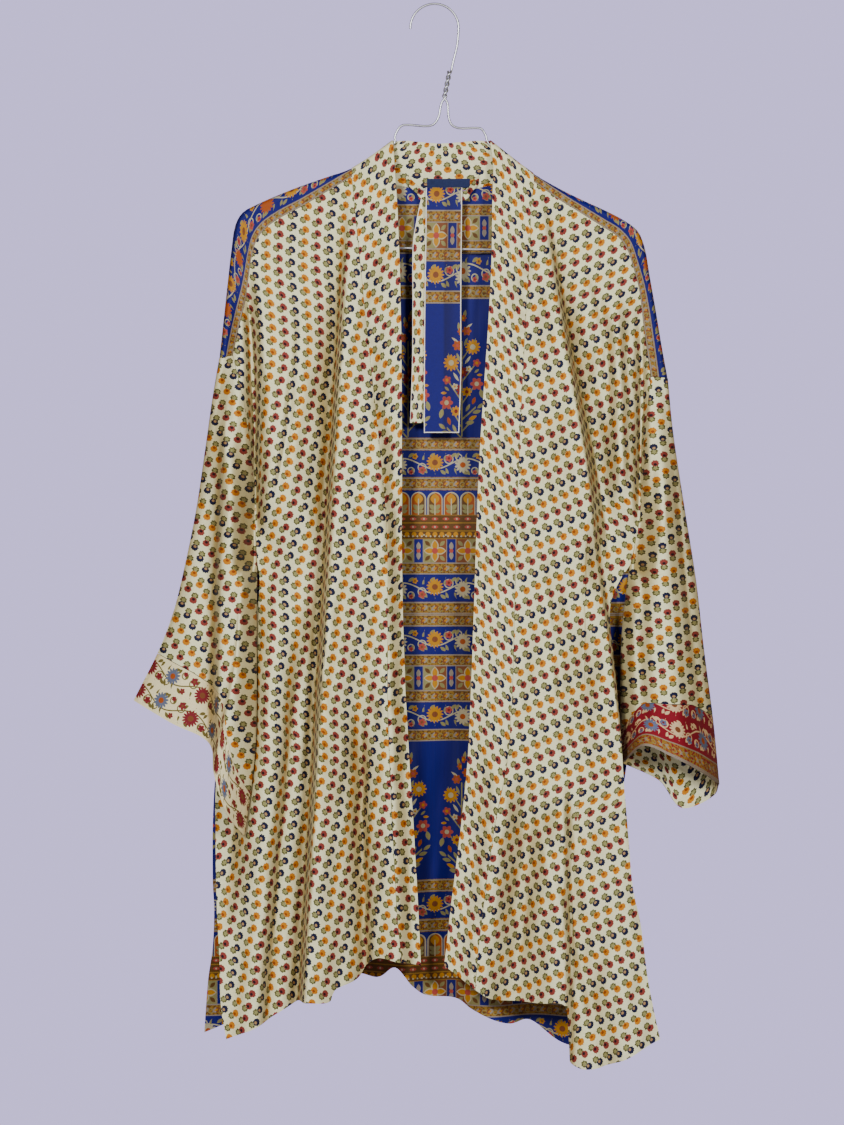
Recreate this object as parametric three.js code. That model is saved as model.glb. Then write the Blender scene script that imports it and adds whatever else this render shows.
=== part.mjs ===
// A short kimono jacket with its sash, hung on a twisted wire hanger.
// Millimetres. X runs to the viewer's right, which is the wearer's left. Y runs away from the viewer,
// to the wall behind. Z is up. The origin is the inside of the hanger's hook, at its top.
// Left and right in every name are the wearer's.
import * as THREE from "three";

// Cloth and seams
const GAP = 0.3; // clear space at every seam
const CLOTH = 1.2; // wall of the printed silk
const LINING = 1; // wall of the back's lining
const BAND = 2.4; // wall of the neckband, which is folded double
const SASH = 2.4; // wall of the sash, folded three times
const FRONT_DEPTH = 26; // how far the fronts hang before the hanger's plane
const BACK_DEPTH = 17; // how far the back hangs behind it
const SPREAD = 60; // length below the shoulder over which the cloth moves out to those depths
const BEND = 5; // radius of the cloth over the wire
const PINCH = 45; // reach of the underarm seams, which draw front and back together
const LEAST_FRONT = 1.6; // least depth of each layer, which keeps the two apart
const LEAST_BACK = 3.4;

// Grid of each wall
const ROWS = 22; // of a front, from its shoulder seam to its hem
const BACK_ROWS = 18;
const ARMHOLE_ROWS = 6; // how many of them lie beside the sleeve
const NECK_COLUMNS = 12;
const SLEEVE_ROWS = 12;
const CUFF_ROWS = 3;
const SASH_ROWS = 34;

// The fold over each shoulder, and the strip that lies on it. Each row is a section across the strip:
// its place on the fold, and the seam where the strip ends on the front and on the back.
const STRIP_RIGHT = [
  { foldX: -83, foldZ: -164, seamX: -83, seamZ: -173 },
  { foldX: -109, foldZ: -173, seamX: -108, seamZ: -188 },
  { foldX: -135, foldZ: -182, seamX: -133, seamZ: -203 },
  { foldX: -160, foldZ: -192, seamX: -157, seamZ: -216 },
  { foldX: -178, foldZ: -200, seamX: -171, seamZ: -227 },
  { foldX: -192, foldZ: -208, seamX: -179, seamZ: -240 },
  { foldX: -199, foldZ: -220, seamX: -183, seamZ: -256 },
  { foldX: -203, foldZ: -245, seamX: -186, seamZ: -276 },
  { foldX: -207, foldZ: -280, seamX: -190, seamZ: -300 },
  { foldX: -211, foldZ: -317, seamX: -196, seamZ: -327 },
  { foldX: -215, foldZ: -353, seamX: -201, seamZ: -351 },
];
const STRIP_LEFT = [
  { foldX: 98, foldZ: -169, seamX: 99, seamZ: -178 },
  { foldX: 122, foldZ: -183, seamX: 121, seamZ: -194 },
  { foldX: 146, foldZ: -195, seamX: 145, seamZ: -209 },
  { foldX: 170, foldZ: -206, seamX: 167, seamZ: -223 },
  { foldX: 189, foldZ: -216, seamX: 182, seamZ: -233 },
  { foldX: 202, foldZ: -226, seamX: 191, seamZ: -245 },
  { foldX: 209, foldZ: -242, seamX: 197, seamZ: -262 },
  { foldX: 214, foldZ: -270, seamX: 203, seamZ: -284 },
  { foldX: 220, foldZ: -304, seamX: 207, seamZ: -312 },
  { foldX: 226, foldZ: -340, seamX: 211, seamZ: -342 },
  { foldX: 232, foldZ: -373, seamX: 215, seamZ: -372 },
];
const STRIP_SHARES = [-1, -0.6, -0.3, -0.11, 0, 0.11, 0.3, 0.6, 1]; // back seam, fold, front seam

// Outlines of the body as [x, z], each from its top down, or from the right to the left.
const RIGHT = {
  sign: -1,
  neck: [-42, -136],
  strip: STRIP_RIGHT,
  edge: [[-42, -136], [-40, -165], [-38, -195], [-35, -265], [-33, -395], [-33, -555], [-32, -615],
    [-29, -695], [-23, -795], [-18, -875], [-14, -957]],
  bandSeam: [[-83, -173], [-81, -195], [-74, -265], [-69, -316], [-62, -380], [-53, -465], [-48, -530],
    [-47, -615], [-47, -695], [-45, -755], [-41, -845], [-37, -915], [-33, -953]],
  hem: [[-33, -953], [-57, -949], [-68, -957], [-77, -970], [-100, -981], [-104, -991], [-132, -992],
    [-148, -1000], [-178, -1018], [-207, -1030]],
  armhole: [[-201, -351], [-190, -400], [-182, -470], [-178, -555]],
  side: [[-178, -555], [-175, -575], [-177, -605], [-186, -655], [-202, -712], [-217, -765], [-219, -830],
    [-217, -900], [-214, -945], [-212, -1000], [-207, -1030]],
  backSide: [[-178, -555], [-192, -610], [-208, -690], [-221, -775], [-223.5, -875], [-222, -907],
    [-223.5, -945], [-228, -977], [-232, -1030]],
};
const LEFT = {
  sign: 1,
  neck: [55, -136],
  strip: STRIP_LEFT,
  edge: [[55, -136], [58, -165], [57, -195], [56, -255], [53, -315], [49, -375], [45, -435], [42, -495],
    [40, -555], [38, -615], [35, -695], [32, -755], [26, -815], [20, -865], [15, -905], [9, -957]],
  bandSeam: [[99, -178], [96, -200], [94, -255], [90, -315], [87, -375], [84, -435], [81, -515], [79, -595],
    [76, -695], [71, -755], [59, -818], [50, -882], [42, -950], [40, -980]],
  hem: [[40, -980], [56, -990], [101, -994], [128, -995], [134, -1052], [148, -1060], [184, -1051],
    [209, -1037], [223, -1030]],
  armhole: [[215, -372], [211, -415], [208, -470], [203, -520], [195, -560]],
  side: [[195, -560], [185, -575], [175, -597], [173, -620], [176, -650], [180, -695], [185, -755],
    [190, -818], [196, -882], [203, -914], [212, -978], [223, -1030]],
  backSide: [[195, -560], [197, -600], [197, -680], [195, -735], [192, -765], [188, -795], [187, -860],
    [188, -920], [190, -980], [192, -1045]],
};
const BACK_HEM = [[-232, -1030], [-195, -1015], [-135, -990], [-80, -972], [-57, -975], [-40, -964], [-23, -982],
  [-10, -992], [24, -997], [37, -1006], [75, -1021], [94, -1018], [129, -1040], [192, -1045]];
const NECK_SEAM = [[-83, -173], [-62, -176], [-40, -179], [-10, -184], [25, -185], [55, -180], [78, -178], [99, -178]];
const NECK_EDGE = [[-42, -136], [-30, -135], [5, -137], [43, -135], [55, -136]];

// Folds. Each runs from its top by its middle to its foot, as [x, z]. It stands out by its height, or sinks
// in if that is negative, and falls away over its width on the left and on the right of the picture.
const FRONT_FOLDS = [
  { name: "right front's long fold", top: [-86, -172], mid: [-107, -540], foot: [-131, -985],
    height: 20, left: 15, right: 34 },
  { name: "hollow beside it", top: [-112, -230], mid: [-132, -560], foot: [-154, -985],
    height: -9, left: 16, right: 12 },
  { name: "soft ridge at the bust", top: [-140, -240], mid: [-152, -500], foot: [-182, -1000],
    height: 9, left: 18, right: 16 },
  { name: "crease before the right sleeve", top: [-184, -262], mid: [-178, -400], foot: [-177, -560],
    height: -13, left: 8, right: 11 },
  { name: "right sleeve's shoulder", top: [-196, -285], mid: [-199, -350], foot: [-200, -430],
    height: 10, left: 12, right: 12 },
  { name: "right side drawn back under the sleeve", top: [-190, -500], mid: [-192, -700], foot: [-212, -900],
    height: -23, left: 44, right: 16 },
  { name: "right band turned in", top: [-66, -340], mid: [-50, -560], foot: [-37, -960],
    height: 15, left: 22, right: 13 },
  { name: "hollow at the right band's foot", top: [-74, -700], mid: [-72, -830], foot: [-69, -965],
    height: -12, left: 12, right: 10 },
  { name: "left front's long fold", top: [101, -176], mid: [140, -415], foot: [176, -650],
    height: 20, left: 36, right: 10 },
  { name: "hollow behind it", top: [126, -240], mid: [163, -400], foot: [186, -520],
    height: -9, left: 14, right: 14 },
  { name: "ridge over the left chest", top: [180, -285], mid: [183, -390], foot: [184, -490],
    height: 9, left: 13, right: 12 },
  { name: "crease before the left sleeve", top: [203, -300], mid: [203, -400], foot: [198, -520],
    height: -10, left: 9, right: 8 },
  { name: "left band's fold", top: [92, -300], mid: [80, -600], foot: [50, -900],
    height: 6, left: 20, right: 22 },
  { name: "left front's foot at the band", top: [70, -760], mid: [58, -860], foot: [42, -975],
    height: 9, left: 16, right: 18 },
  { name: "hollow at the left foot", top: [95, -780], mid: [86, -880], foot: [80, -990],
    height: -9, left: 18, right: 18 },
  { name: "left front's hem fold", top: [124, -760], mid: [126, -880], foot: [127, -1000],
    height: 13, left: 24, right: 8 },
  { name: "left front's side flare", top: [176, -780], mid: [180, -900], foot: [190, -1045],
    height: 9, left: 22, right: 24 },
];
const BACK_FOLDS = [
  { name: "flute at the right side", top: [-165, -420], mid: [-180, -700], foot: [-196, -1020],
    height: 11, left: 20, right: 20 },
  { name: "hollow inside it", top: [-110, -330], mid: [-118, -660], foot: [-128, -1000],
    height: -8, left: 22, right: 22 },
  { name: "flute right of the middle", top: [-60, -420], mid: [-66, -700], foot: [-72, -980],
    height: 13, left: 18, right: 20 },
  { name: "hollow at the middle", top: [-24, -700], mid: [-26, -840], foot: [-30, -975],
    height: -9, left: 14, right: 14 },
  { name: "flute left of the middle", top: [22, -520], mid: [18, -760], foot: [12, -1000],
    height: 9, left: 20, right: 20 },
  { name: "hollow beside it", top: [62, -420], mid: [60, -720], foot: [56, -1010],
    height: -9, left: 18, right: 18 },
  { name: "flute at the left side", top: [112, -340], mid: [106, -680], foot: [100, -1030],
    height: 12, left: 22, right: 22 },
  { name: "hollow outside it", top: [160, -440], mid: [152, -740], foot: [146, -1040],
    height: -8, left: 18, right: 18 },
];

// Sleeves, as [x, z, y]: the fold on top, the fold under the arm, and the cuff's edge on each side.
const SLEEVE_RIGHT = {
  over: [[-215, -353, 0], [-222, -395, -1], [-229, -445, -2], [-238, -505, -2], [-248, -555, -3],
    [-260, -605, -4], [-275, -645, -5], [-300, -695, -6]],
  under: [[-178, -555, 0.8], [-177.5, -600, -16], [-177, -650, -25], [-177, -700, -29], [-178, -740, -31],
    [-183, -785, -32], [-189, -827, -33]],
  cuffFront: [[-300, -695, -6], [-262, -716, -15], [-222, -737, -24], [-217, -765, -38], [-205, -804, -41],
    [-189, -827, -33]],
  cuffBack: [[-300, -695, -6], [-262, -712, -6], [-226, -730, -14], [-205, -770, -26], [-189, -827, -33]],
  bulgeFront: -13,
  bulgeBack: 2,
  cuffLength: 52,
  folds: [
    { name: "fold down the sleeve", top: [-206, -400], mid: [-212, -560], foot: [-214, -745],
      height: 9, left: 7, right: 22 },
    { name: "hollow behind the fold", top: [-222, -470], mid: [-232, -600], foot: [-246, -720],
      height: -5, left: 14, right: 9 },
  ],
};
const SLEEVE_LEFT = {
  over: [[232, -373, 0], [237, -425, -1], [249, -505, -2], [260, -575, -3], [268, -645, -4], [277, -715, -5],
    [283, -778, -6]],
  under: [[195, -560, 0.8], [188, -610, -6], [185, -655, -9], [184.5, -695, -10], [186, -757, -12]],
  cuffFront: [[283, -778, -6], [262, -764, -22], [232, -748, -31], [206, -738, -30], [186, -757, -12]],
  cuffBack: [[283, -778, -6], [279, -791, 4], [248, -804, 8], [226, -777, 4], [206, -766, -2], [186, -757, -12]],
  bulgeFront: -17,
  bulgeBack: 9,
  cuffLength: 58,
  folds: [
    { name: "fold down the sleeve", top: [240, -440], mid: [254, -600], foot: [262, -745],
      height: 6, left: 14, right: 12 },
    { name: "hollow at the under side", top: [214, -480], mid: [212, -600], foot: [214, -720],
      height: -5, left: 9, right: 12 },
  ],
};
const SLEEVE_LENGTH = 350;
const SEAM_STRIP = 10; // width beside the armhole that lies in one surface with the body
const FOLD_SHARE = 0.04; // share of a sleeve's width that bends at each of its two folds

// The sash hangs folded over its loop. Each row is a place down the fall that is before or behind the loop.
const SASH_FOLD = { x0: -9, x1: 27, y: 0, z: -183.4 };
const SASH_FALL_BEFORE = [
  { x0: -9, x1: 27, y: -2.9, z: -187 },
  { x0: -9.5, x1: 26.5, y: -5.8, z: -236 },
  { x0: -10.5, x1: 26, y: -6.4, z: -300 },
  { x0: -11, x1: 26, y: -6, z: -370 },
  { x0: -11, x1: 24, y: -5.6, z: -428 },
];
const SASH_FALL_BEHIND = [
  { x0: -12, x1: 22, y: 2.9, z: -187.5 },
  { x0: -15, x1: 18, y: 2.9, z: -198 },
  { x0: -19, x1: 13, y: 0.4, z: -218 },
  { x0: -22, x1: 8, y: -2.8, z: -238 },
  { x0: -22.5, x1: 2, y: -2.7, z: -300 },
  { x0: -23, x1: -1, y: -2.2, z: -360 },
  { x0: -25, x1: -4, y: -1.8, z: -418 },
];
const LOOP = { rightX: -29, leftX: 44, endZ: -168.5, lowRight: -12, lowLeft: 31,
  lowY: 0.4, lowZ: -185.4, width: 9, wall: 1.2 };
const LABEL = { x0: -8, x1: 35, z0: -181.5, z1: -172.5, wall: 0.6 };

// Wire hanger. Its hook is an arc round [x, z]. The other tables give the wire's middle as [x, z].
const WIRE = 1.2; // radius
const WIRE_SIDES = 8;
const HOOK = { x: -0.5, z: -22.9, radius: 24.1, tipDegrees: 182, steps: 12 };
const SHANK = [[22.2, -40], [18.4, -56]];
const TWIST = { top: [14.6, -66.4], bottom: [9.7, -91.4], turns: 2, radius: 1.45, steps: 16 };
const LEG_RIGHT = [[6.6, -98], [3.6, -112], [-0.6, -118.6], [-6, -121], [-31, -120], [-35, -122], [-40, -131]];
const LEG_LEFT = [[12.4, -98], [13.6, -112], [16.6, -119.6], [23, -123], [42, -123], [46.5, -124], [50.5, -130]];
const TIP_RIGHT = [[-195.2, -222], [-193, -231], [-187, -237], [-178, -238.5]];
const TIP_LEFT = [[190, -244], [197, -242], [201.4, -236]];
const ARM_STATIONS = 6; // how much of the shoulder's fold lies on the wire

const COLOURS = {
  cream: { hex: 0xd9cfae, roughness: 0.75 },
  sari: { hex: 0x23268c, roughness: 0.6 },
  gold: { hex: 0xa88a45, roughness: 0.6 },
  vine: { hex: 0xddd3ad, roughness: 0.75 },
  crimson: { hex: 0x8e1f3a, roughness: 0.65 },
  navy: { hex: 0x1d2a52, roughness: 0.7 },
  wire: { hex: 0xb8bcc2, roughness: 0.3, metalness: 1 },
};

const kimono = new THREE.Group();
function piece(name, geometry, colour) {
  const { hex, roughness, metalness = 0 } = COLOURS[colour];
  const mesh = new THREE.Mesh(geometry, new THREE.MeshStandardMaterial({ color: hex, roughness, metalness }));
  mesh.name = name;
  kimono.add(mesh);
}

const { clamp, lerp, smoothstep, degToRad } = THREE.MathUtils;
const at = ([x, z, y = 0]) => new THREE.Vector3(x, y, z);
const steps = (count, from = 0, to = 1) =>
  Array.from({ length: count + 1 }, (_, i) => from + ((to - from) * i) / count);

// A smooth line through some points, cut into equal lengths.
function smoothLine(points, count) {
  return new THREE.CatmullRomCurve3(points.map(at), false, "centripetal").getSpacedPoints(count);
}

// A place on a line of stations, straight between them, so that two pieces on one seam agree.
function along(stations, t) {
  const s = clamp(t, 0, 1) * (stations.length - 1);
  const i = Math.min(Math.floor(s), stations.length - 2);
  return stations[i].clone().lerp(stations[i + 1], s - i);
}

const foldOf = (side) => [at(side.neck), ...side.strip.map((row) => at([row.foldX, row.foldZ]))];
const seamOf = (side) => side.strip.map((row) => at([row.seamX, row.seamZ]));
const FOLDS = [foldOf(RIGHT), foldOf(LEFT)];
const UNDERARMS = [at(RIGHT.side[0]), at(LEFT.side[0])];

// How far a place is from a line of stations, in the picture's plane.
function distanceTo(line, x, z) {
  const point = new THREE.Vector3(x, 0, z);
  const nearest = new THREE.Vector3();
  const stretch = new THREE.Line3();
  const each = line.slice(1).map((end, i) => {
    stretch.set(line[i], end).closestPointToPoint(point, true, nearest);
    return nearest.distanceTo(point);
  });
  return Math.min(...each);
}
const foldDistance = (x, z) => Math.min(...FOLDS.map((fold) => distanceTo(fold, x, z)));

// How far one fold moves the cloth at a place.
function foldHeight({ top, mid, foot, height, left, right }, x, z) {
  const t = (top[1] - z) / (top[1] - foot[1]);
  const middle = (top[1] - mid[1]) / (top[1] - foot[1]);
  const centre = t < middle
    ? lerp(top[0], mid[0], t / middle)
    : lerp(mid[0], foot[0], (t - middle) / (1 - middle));
  const off = x - centre;
  const rise = smoothstep(t, -0.05, 0.25);
  const runsOut = foot[1] < -940;
  const fall = runsOut ? 1 : 1 - smoothstep(t, 0.8, 1.15);
  return height * rise * fall * Math.exp(-((off / (off < 0 ? left : right)) ** 2));
}
const foldHeights = (folds, x, z) => folds.reduce((sum, fold) => sum + foldHeight(fold, x, z), 0);

// Depth of one layer of the body: nothing at the shoulder's fold, more below it, with the layer's folds.
function layerDepth(x, z, depth, folds, least) {
  const d = foldDistance(x, z);
  if (d < BEND) return Math.sqrt(BEND ** 2 - (BEND - d) ** 2);
  const hang = (depth - BEND) * (1 - Math.exp(-(d - BEND) / SPREAD));
  const folded = foldHeights(folds, x, z) * (1 - Math.exp(-(d - BEND) / 25));
  const underarm = Math.min(...UNDERARMS.map((p) => Math.hypot(p.x - x, p.z - z)));
  const free = 1 - Math.exp(-((underarm / PINCH) ** 2));
  return Math.max((BEND + (hang + folded) * free) * lerp(0.35, 1, free), least);
}
const frontY = (x, z) => -layerDepth(x, z, FRONT_DEPTH, FRONT_FOLDS, LEAST_FRONT);
const backY = (x, z) => layerDepth(x, z, BACK_DEPTH, BACK_FOLDS, LEAST_BACK);
const onFront = (p) => p.setY(frontY(p.x, p.z));
const onBack = (p) => p.setY(backY(p.x, p.z));

// Which way a layer faces at a place on a seam. Every piece at the seam uses it, so their rims are parallel.
function seamNormal(p) {
  if (foldDistance(p.x, p.z) < BEND) return null;
  const depth = p.y < 1 ? frontY : backY;
  const step = 0.5;
  const slopeX = (depth(p.x + step, p.z) - depth(p.x - step, p.z)) / (2 * step);
  const slopeZ = (depth(p.x, p.z + step) - depth(p.x, p.z - step)) / (2 * step);
  return new THREE.Vector3(-slopeX, 1, -slopeZ).normalize().multiplyScalar(p.y < 1 ? -1 : 1);
}

// A patch between four lines: across its top and foot by u, down its inner and outer side by v.
function patch({ top, foot, inner, outer }) {
  return (u, v) =>
    new THREE.Vector3()
      .addScaledVector(along(top, u), 1 - v)
      .addScaledVector(along(foot, u), v)
      .addScaledVector(along(inner, v), 1 - u)
      .addScaledVector(along(outer, v), u)
      .addScaledVector(along(top, 0), -(1 - u) * (1 - v))
      .addScaledVector(along(top, 1), -u * (1 - v))
      .addScaledVector(along(foot, 0), -(1 - u) * v)
      .addScaledVector(along(foot, 1), -u * v);
}

// Outward direction at every point of a grid, from the points around it. Across is columns, then down.
function gridNormals(grid, ring = false) {
  const last = grid.length - 1;
  const columns = grid[0].length;
  const column = (j) => (ring ? (j + columns) % columns : clamp(j, 0, columns - 1));
  return grid.map((row, i) =>
    row.map((_, j) => {
      const across = row[column(j + 1)].clone().sub(row[column(j - 1)]);
      const down = grid[Math.min(i + 1, last)][j].clone().sub(grid[Math.max(i - 1, 0)][j]);
      return across.cross(down).normalize();
    }),
  );
}

// The seam's direction in place of a normal of a grid, on the same side of the cloth.
function atSeam(normal, p) {
  const shared = seamNormal(p);
  return shared ? shared.multiplyScalar(shared.dot(normal) < 0 ? -1 : 1) : normal;
}

// Normals of a piece of a layer, whose rims meet other pieces.
function layerNormals(grid) {
  const last = grid.length - 1;
  return gridNormals(grid).map((row, i) =>
    row.map((normal, j) => {
      const onRim = i === 0 || i === last || j === 0 || j === row.length - 1;
      return onRim ? atSeam(normal, grid[i][j]) : normal;
    }),
  );
}

// A closed wall of cloth: the grid's points moved out and in by half its thickness, joined round the rim.
// Opposite rims are split along the same diagonals, so that two walls on one seam stay parallel.
function wall(grid, normals, thickness, { ring = false, out = 0 } = {}) {
  const rows = grid.length;
  const columns = grid[0].length;
  const positions = [];
  for (const side of [1, -1])
    grid.forEach((row, i) =>
      row.forEach((p, j) => {
        positions.push(...p.clone().addScaledVector(normals[i][j], out + (side * thickness) / 2).toArray());
      }),
    );
  const index = [];
  const id = (side, i, j) => side * rows * columns + i * columns + (j % columns);
  const quad = (a, b, c, d) => index.push(a, b, c, a, c, d);
  const cells = ring ? columns : columns - 1;
  for (let i = 0; i < rows - 1; i++)
    for (let j = 0; j < cells; j++) {
      const corners = [[i, j], [i, j + 1], [i + 1, j + 1], [i + 1, j]];
      const [a, b, c, d] = corners.map(([r, k]) => id(0, r, k));
      const [e, f, g, h] = corners.map(([r, k]) => id(1, r, k));
      quad(a, b, c, d);
      index.push(e, g, f, e, h, g);
    }
  for (let j = 0; j < cells; j++) {
    quad(id(1, 0, j), id(1, 0, j + 1), id(0, 0, j + 1), id(0, 0, j));
    quad(id(0, rows - 1, j + 1), id(1, rows - 1, j + 1), id(1, rows - 1, j), id(0, rows - 1, j));
  }
  for (let i = 0; i < rows - 1 && !ring; i++) {
    quad(id(0, i, 0), id(0, i + 1, 0), id(1, i + 1, 0), id(1, i, 0));
    quad(id(1, i + 1, cells), id(0, i + 1, cells), id(0, i, cells), id(1, i, cells));
  }
  const geometry = new THREE.BufferGeometry();
  geometry.setAttribute("position", new THREE.Float32BufferAttribute(positions, 3));
  geometry.setIndex(index);
  geometry.computeVertexNormals();
  return geometry;
}

const armholeOf = (side) => smoothLine(side.armhole, ARMHOLE_ROWS);

// A front hangs from the strip's seam. Its long outer side is the armhole and then the open side.
function frontPanel(side) {
  const top = seamOf(side);
  const open = smoothLine(side.side, ROWS - ARMHOLE_ROWS).slice(1);
  const place = patch({
    top,
    foot: smoothLine(side.hem, 48),
    inner: smoothLine(side.bandSeam, ROWS),
    outer: [...armholeOf(side), ...open],
  });
  const columns = steps(2 * (top.length - 1));
  const across = side.sign < 0 ? columns : columns.reverse();
  return steps(ROWS).map((v) => across.map((u) => onFront(place(u, v))));
}

function backPanel() {
  const neck = smoothLine(NECK_SEAM, NECK_COLUMNS).slice(1, -1);
  const top = [...seamOf(RIGHT).reverse(), ...neck, ...seamOf(LEFT)];
  const outline = (side) => [
    ...armholeOf(side),
    ...smoothLine(side.backSide, BACK_ROWS - ARMHOLE_ROWS).slice(1),
  ];
  const place = patch({ top, foot: smoothLine(BACK_HEM, 60), inner: outline(RIGHT), outer: outline(LEFT) });
  return steps(BACK_ROWS).map((v) => steps(top.length - 1).map((u) => onBack(place(u, v))));
}

// The strip bends over the shoulder's fold, from its seam on the back to its seam on the front.
function shoulderStrip(side) {
  const fold = foldOf(side).slice(1);
  const seam = seamOf(side);
  const end = GAP / 500;
  return steps(fold.length - 1).map((s) => {
    const t = clamp(s, end, 1 - end);
    const middle = along(fold, t);
    const rim = along(seam, t);
    const reach = 1 - GAP / middle.distanceTo(rim);
    return STRIP_SHARES.map((share) => {
      const place = middle.clone().lerp(rim, Math.abs(share) * reach);
      return share > 0 ? onFront(place) : onBack(place);
    });
  });
}

// The neckband runs up the right front, round the back of the neck and down the left front.
// Each row is its free edge, its seam and the layer that it lies on. Rows are close where it bends.
function neckband() {
  const firstRow = 0.42; // share of a row between the neck point and the first row on a front
  const frontRows = (side) => {
    const edge = smoothLine(side.edge, ROWS + 1);
    const seam = smoothLine(side.bandSeam, ROWS);
    const shoulder = foldOf(side)[1];
    const bend = [0.12, 0.4].map((t) => ({
      edge: edge[0].clone().lerp(edge[1], t * firstRow * 0.9),
      seam: shoulder.clone().lerp(seam[0], t),
      drop: onFront,
    }));
    const straight = seam.map((point, i) => ({
      edge: along(edge, (i + firstRow) / (ROWS + firstRow)),
      seam: point,
      drop: onFront,
    }));
    return [...bend, ...straight];
  };
  const neckSeam = [foldOf(RIGHT)[1], ...smoothLine(NECK_SEAM, NECK_COLUMNS), foldOf(LEFT)[1]];
  const neckEdge = smoothLine(NECK_EDGE, neckSeam.length - 1);
  const stations = steps(neckSeam.length - 1);
  const bend = [0.12, 0.4].map((t) => t * stations[1]);
  const shares = [0, ...bend, ...stations.slice(1, -1), ...bend.map((t) => 1 - t).reverse(), 1];
  const round = shares.map((t) => ({ edge: along(neckEdge, t), seam: along(neckSeam, t), drop: onBack }));
  return [...frontRows(RIGHT).reverse(), ...round, ...frontRows(LEFT)].map(({ edge, seam, drop }) => {
    const reach = 1 - GAP / edge.distanceTo(seam);
    return [0, 0.34, 0.67, 1].map((u) => drop(edge.clone().lerp(seam, u * reach)));
  });
}

// A sleeve is a flat tube. Its front half and its back half share the folds over and under the arm.
// Beside the armhole it goes on from the body's layers, and further out it has its own depth and folds.
function sleeve(side, form) {
  const seamReach = 36;
  const [fold, seam] = [foldOf(side).pop(), seamOf(side).pop()];
  const armhole = [fold, fold.clone().lerp(seam, 0.4), seam, ...armholeOf(side).slice(1)];
  const halfRing = armhole.length - 1;
  const away = new THREE.Vector3(side.sign * GAP, 0, -GAP);
  const over = smoothLine(form.over, 24);
  const under = smoothLine(form.under, 24);
  const half = (layerY, cuff, bulge, foldShare) => {
    const top = armhole.map((p) => p.clone().setY(layerY(p.x, p.z)));
    top[halfRing].setY(form.under[0][2]);
    const place = patch({ top, foot: smoothLine(cuff, 24), inner: over, outer: under });
    return (u, v) => {
      const p = place(u, v).add(away);
      const inside = Math.sin(Math.PI * u);
      const folded = bulge + foldShare * foldHeights(form.folds, p.x, p.z);
      const own = p.y + smoothstep(v, 0, 0.3) * inside ** 0.7 * folded;
      const beside = 1 - smoothstep(distanceTo(armhole, p.x, p.z), 0, seamReach);
      return p.setY(lerp(own, layerY(p.x, p.z), beside * Math.min(2 * inside, 1)));
    };
  };
  const front = half(frontY, form.cuffFront, form.bulgeFront, -1);
  const back = half(backY, form.cuffBack, form.bulgeBack, 0.3);
  const across = [0, FOLD_SHARE, ...steps(halfRing).slice(1, -1), 1 - FOLD_SHARE];
  return (v) => [...across.map((u) => front(u, v)), ...across.map((u) => back(1 - u, v))];
}

function addSleeve(name, cuffName, cuffColour, side, form) {
  const ring = sleeve(side, form);
  const cuffFrom = 1 - form.cuffLength / SLEEVE_LENGTH;
  const seam = GAP / SLEEVE_LENGTH;
  const near = 0.01;
  const build = (ends, count, node, colour) => {
    const shares = steps(count, ...ends);
    const grid = shares.map(ring);
    const normals = shares.map((v, i) => {
      const around = [ring(Math.max(v - near, 0)), grid[i], ring(Math.min(v + near, 1))];
      const isBeside = (p) => distanceTo(armholeOf(side), p.x, p.z) < SEAM_STRIP;
      return gridNormals(around, true)[1].map((normal, j) =>
        isBeside(grid[i][j]) ? atSeam(normal, grid[i][j]) : normal,
      );
    });
    piece(node, wall(grid, normals, CLOTH, { ring: true }), colour);
  };
  build([0, cuffFrom - seam], SLEEVE_ROWS, name, "cream");
  build([cuffFrom + seam, 1], CUFF_ROWS, cuffName, cuffColour);
}

// The sash is one folded strip, hung over its loop with a fall before it and one behind.
function sash() {
  const falls = [...SASH_FALL_BEFORE].reverse().concat(SASH_FOLD, SASH_FALL_BEHIND);
  const [right, left] = ["x0", "x1"].map(
    (x) => new THREE.CatmullRomCurve3(falls.map((row) => at([row[x], row.z, row.y])), false, "centripetal"),
  );
  return steps(SASH_ROWS).map((t) => {
    const [a, b] = [right.getPoint(t), left.getPoint(t)];
    return steps(2).map((u) => a.clone().lerp(b, u));
  });
}

// A tape sewn to the inside of the neckband at both ends. It hangs forward, and the sash lies over it.
function hangingLoop() {
  const seat = (BAND + LOOP.wall) / 2 + GAP;
  const end = (x) => at([x, LOOP.endZ, backY(x, LOOP.endZ - LOOP.width / 2) - seat]);
  const [right, left] = [end(LOOP.rightX), end(LOOP.leftX)];
  const [lowRight, lowLeft] = [LOOP.lowRight, LOOP.lowLeft].map((x) => at([x, LOOP.lowZ, LOOP.lowY]));
  const tape = new THREE.CatmullRomCurve3(
    [right, right.clone().lerp(lowRight, 0.6), lowRight, lowLeft, left.clone().lerp(lowLeft, 0.6), left],
    false,
    "centripetal",
  );
  return [0, LOOP.width].map((drop) => tape.getSpacedPoints(14).map((p) => p.clone().setZ(p.z - drop)));
}

function label() {
  return [LABEL.z1, LABEL.z0].map((z) => steps(3, LABEL.x0, LABEL.x1).map((x) => onBack(at([x, z]))));
}

// The wire starts at the hook's tip, runs down into the twist, once round the frame and up the twist again.
class WireRoute extends THREE.CatmullRomCurve3 {
  getPointAt(t) {
    return this.getPoint(t);
  }
  getTangentAt(t) {
    return this.getTangent(t);
  }
}

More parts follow.
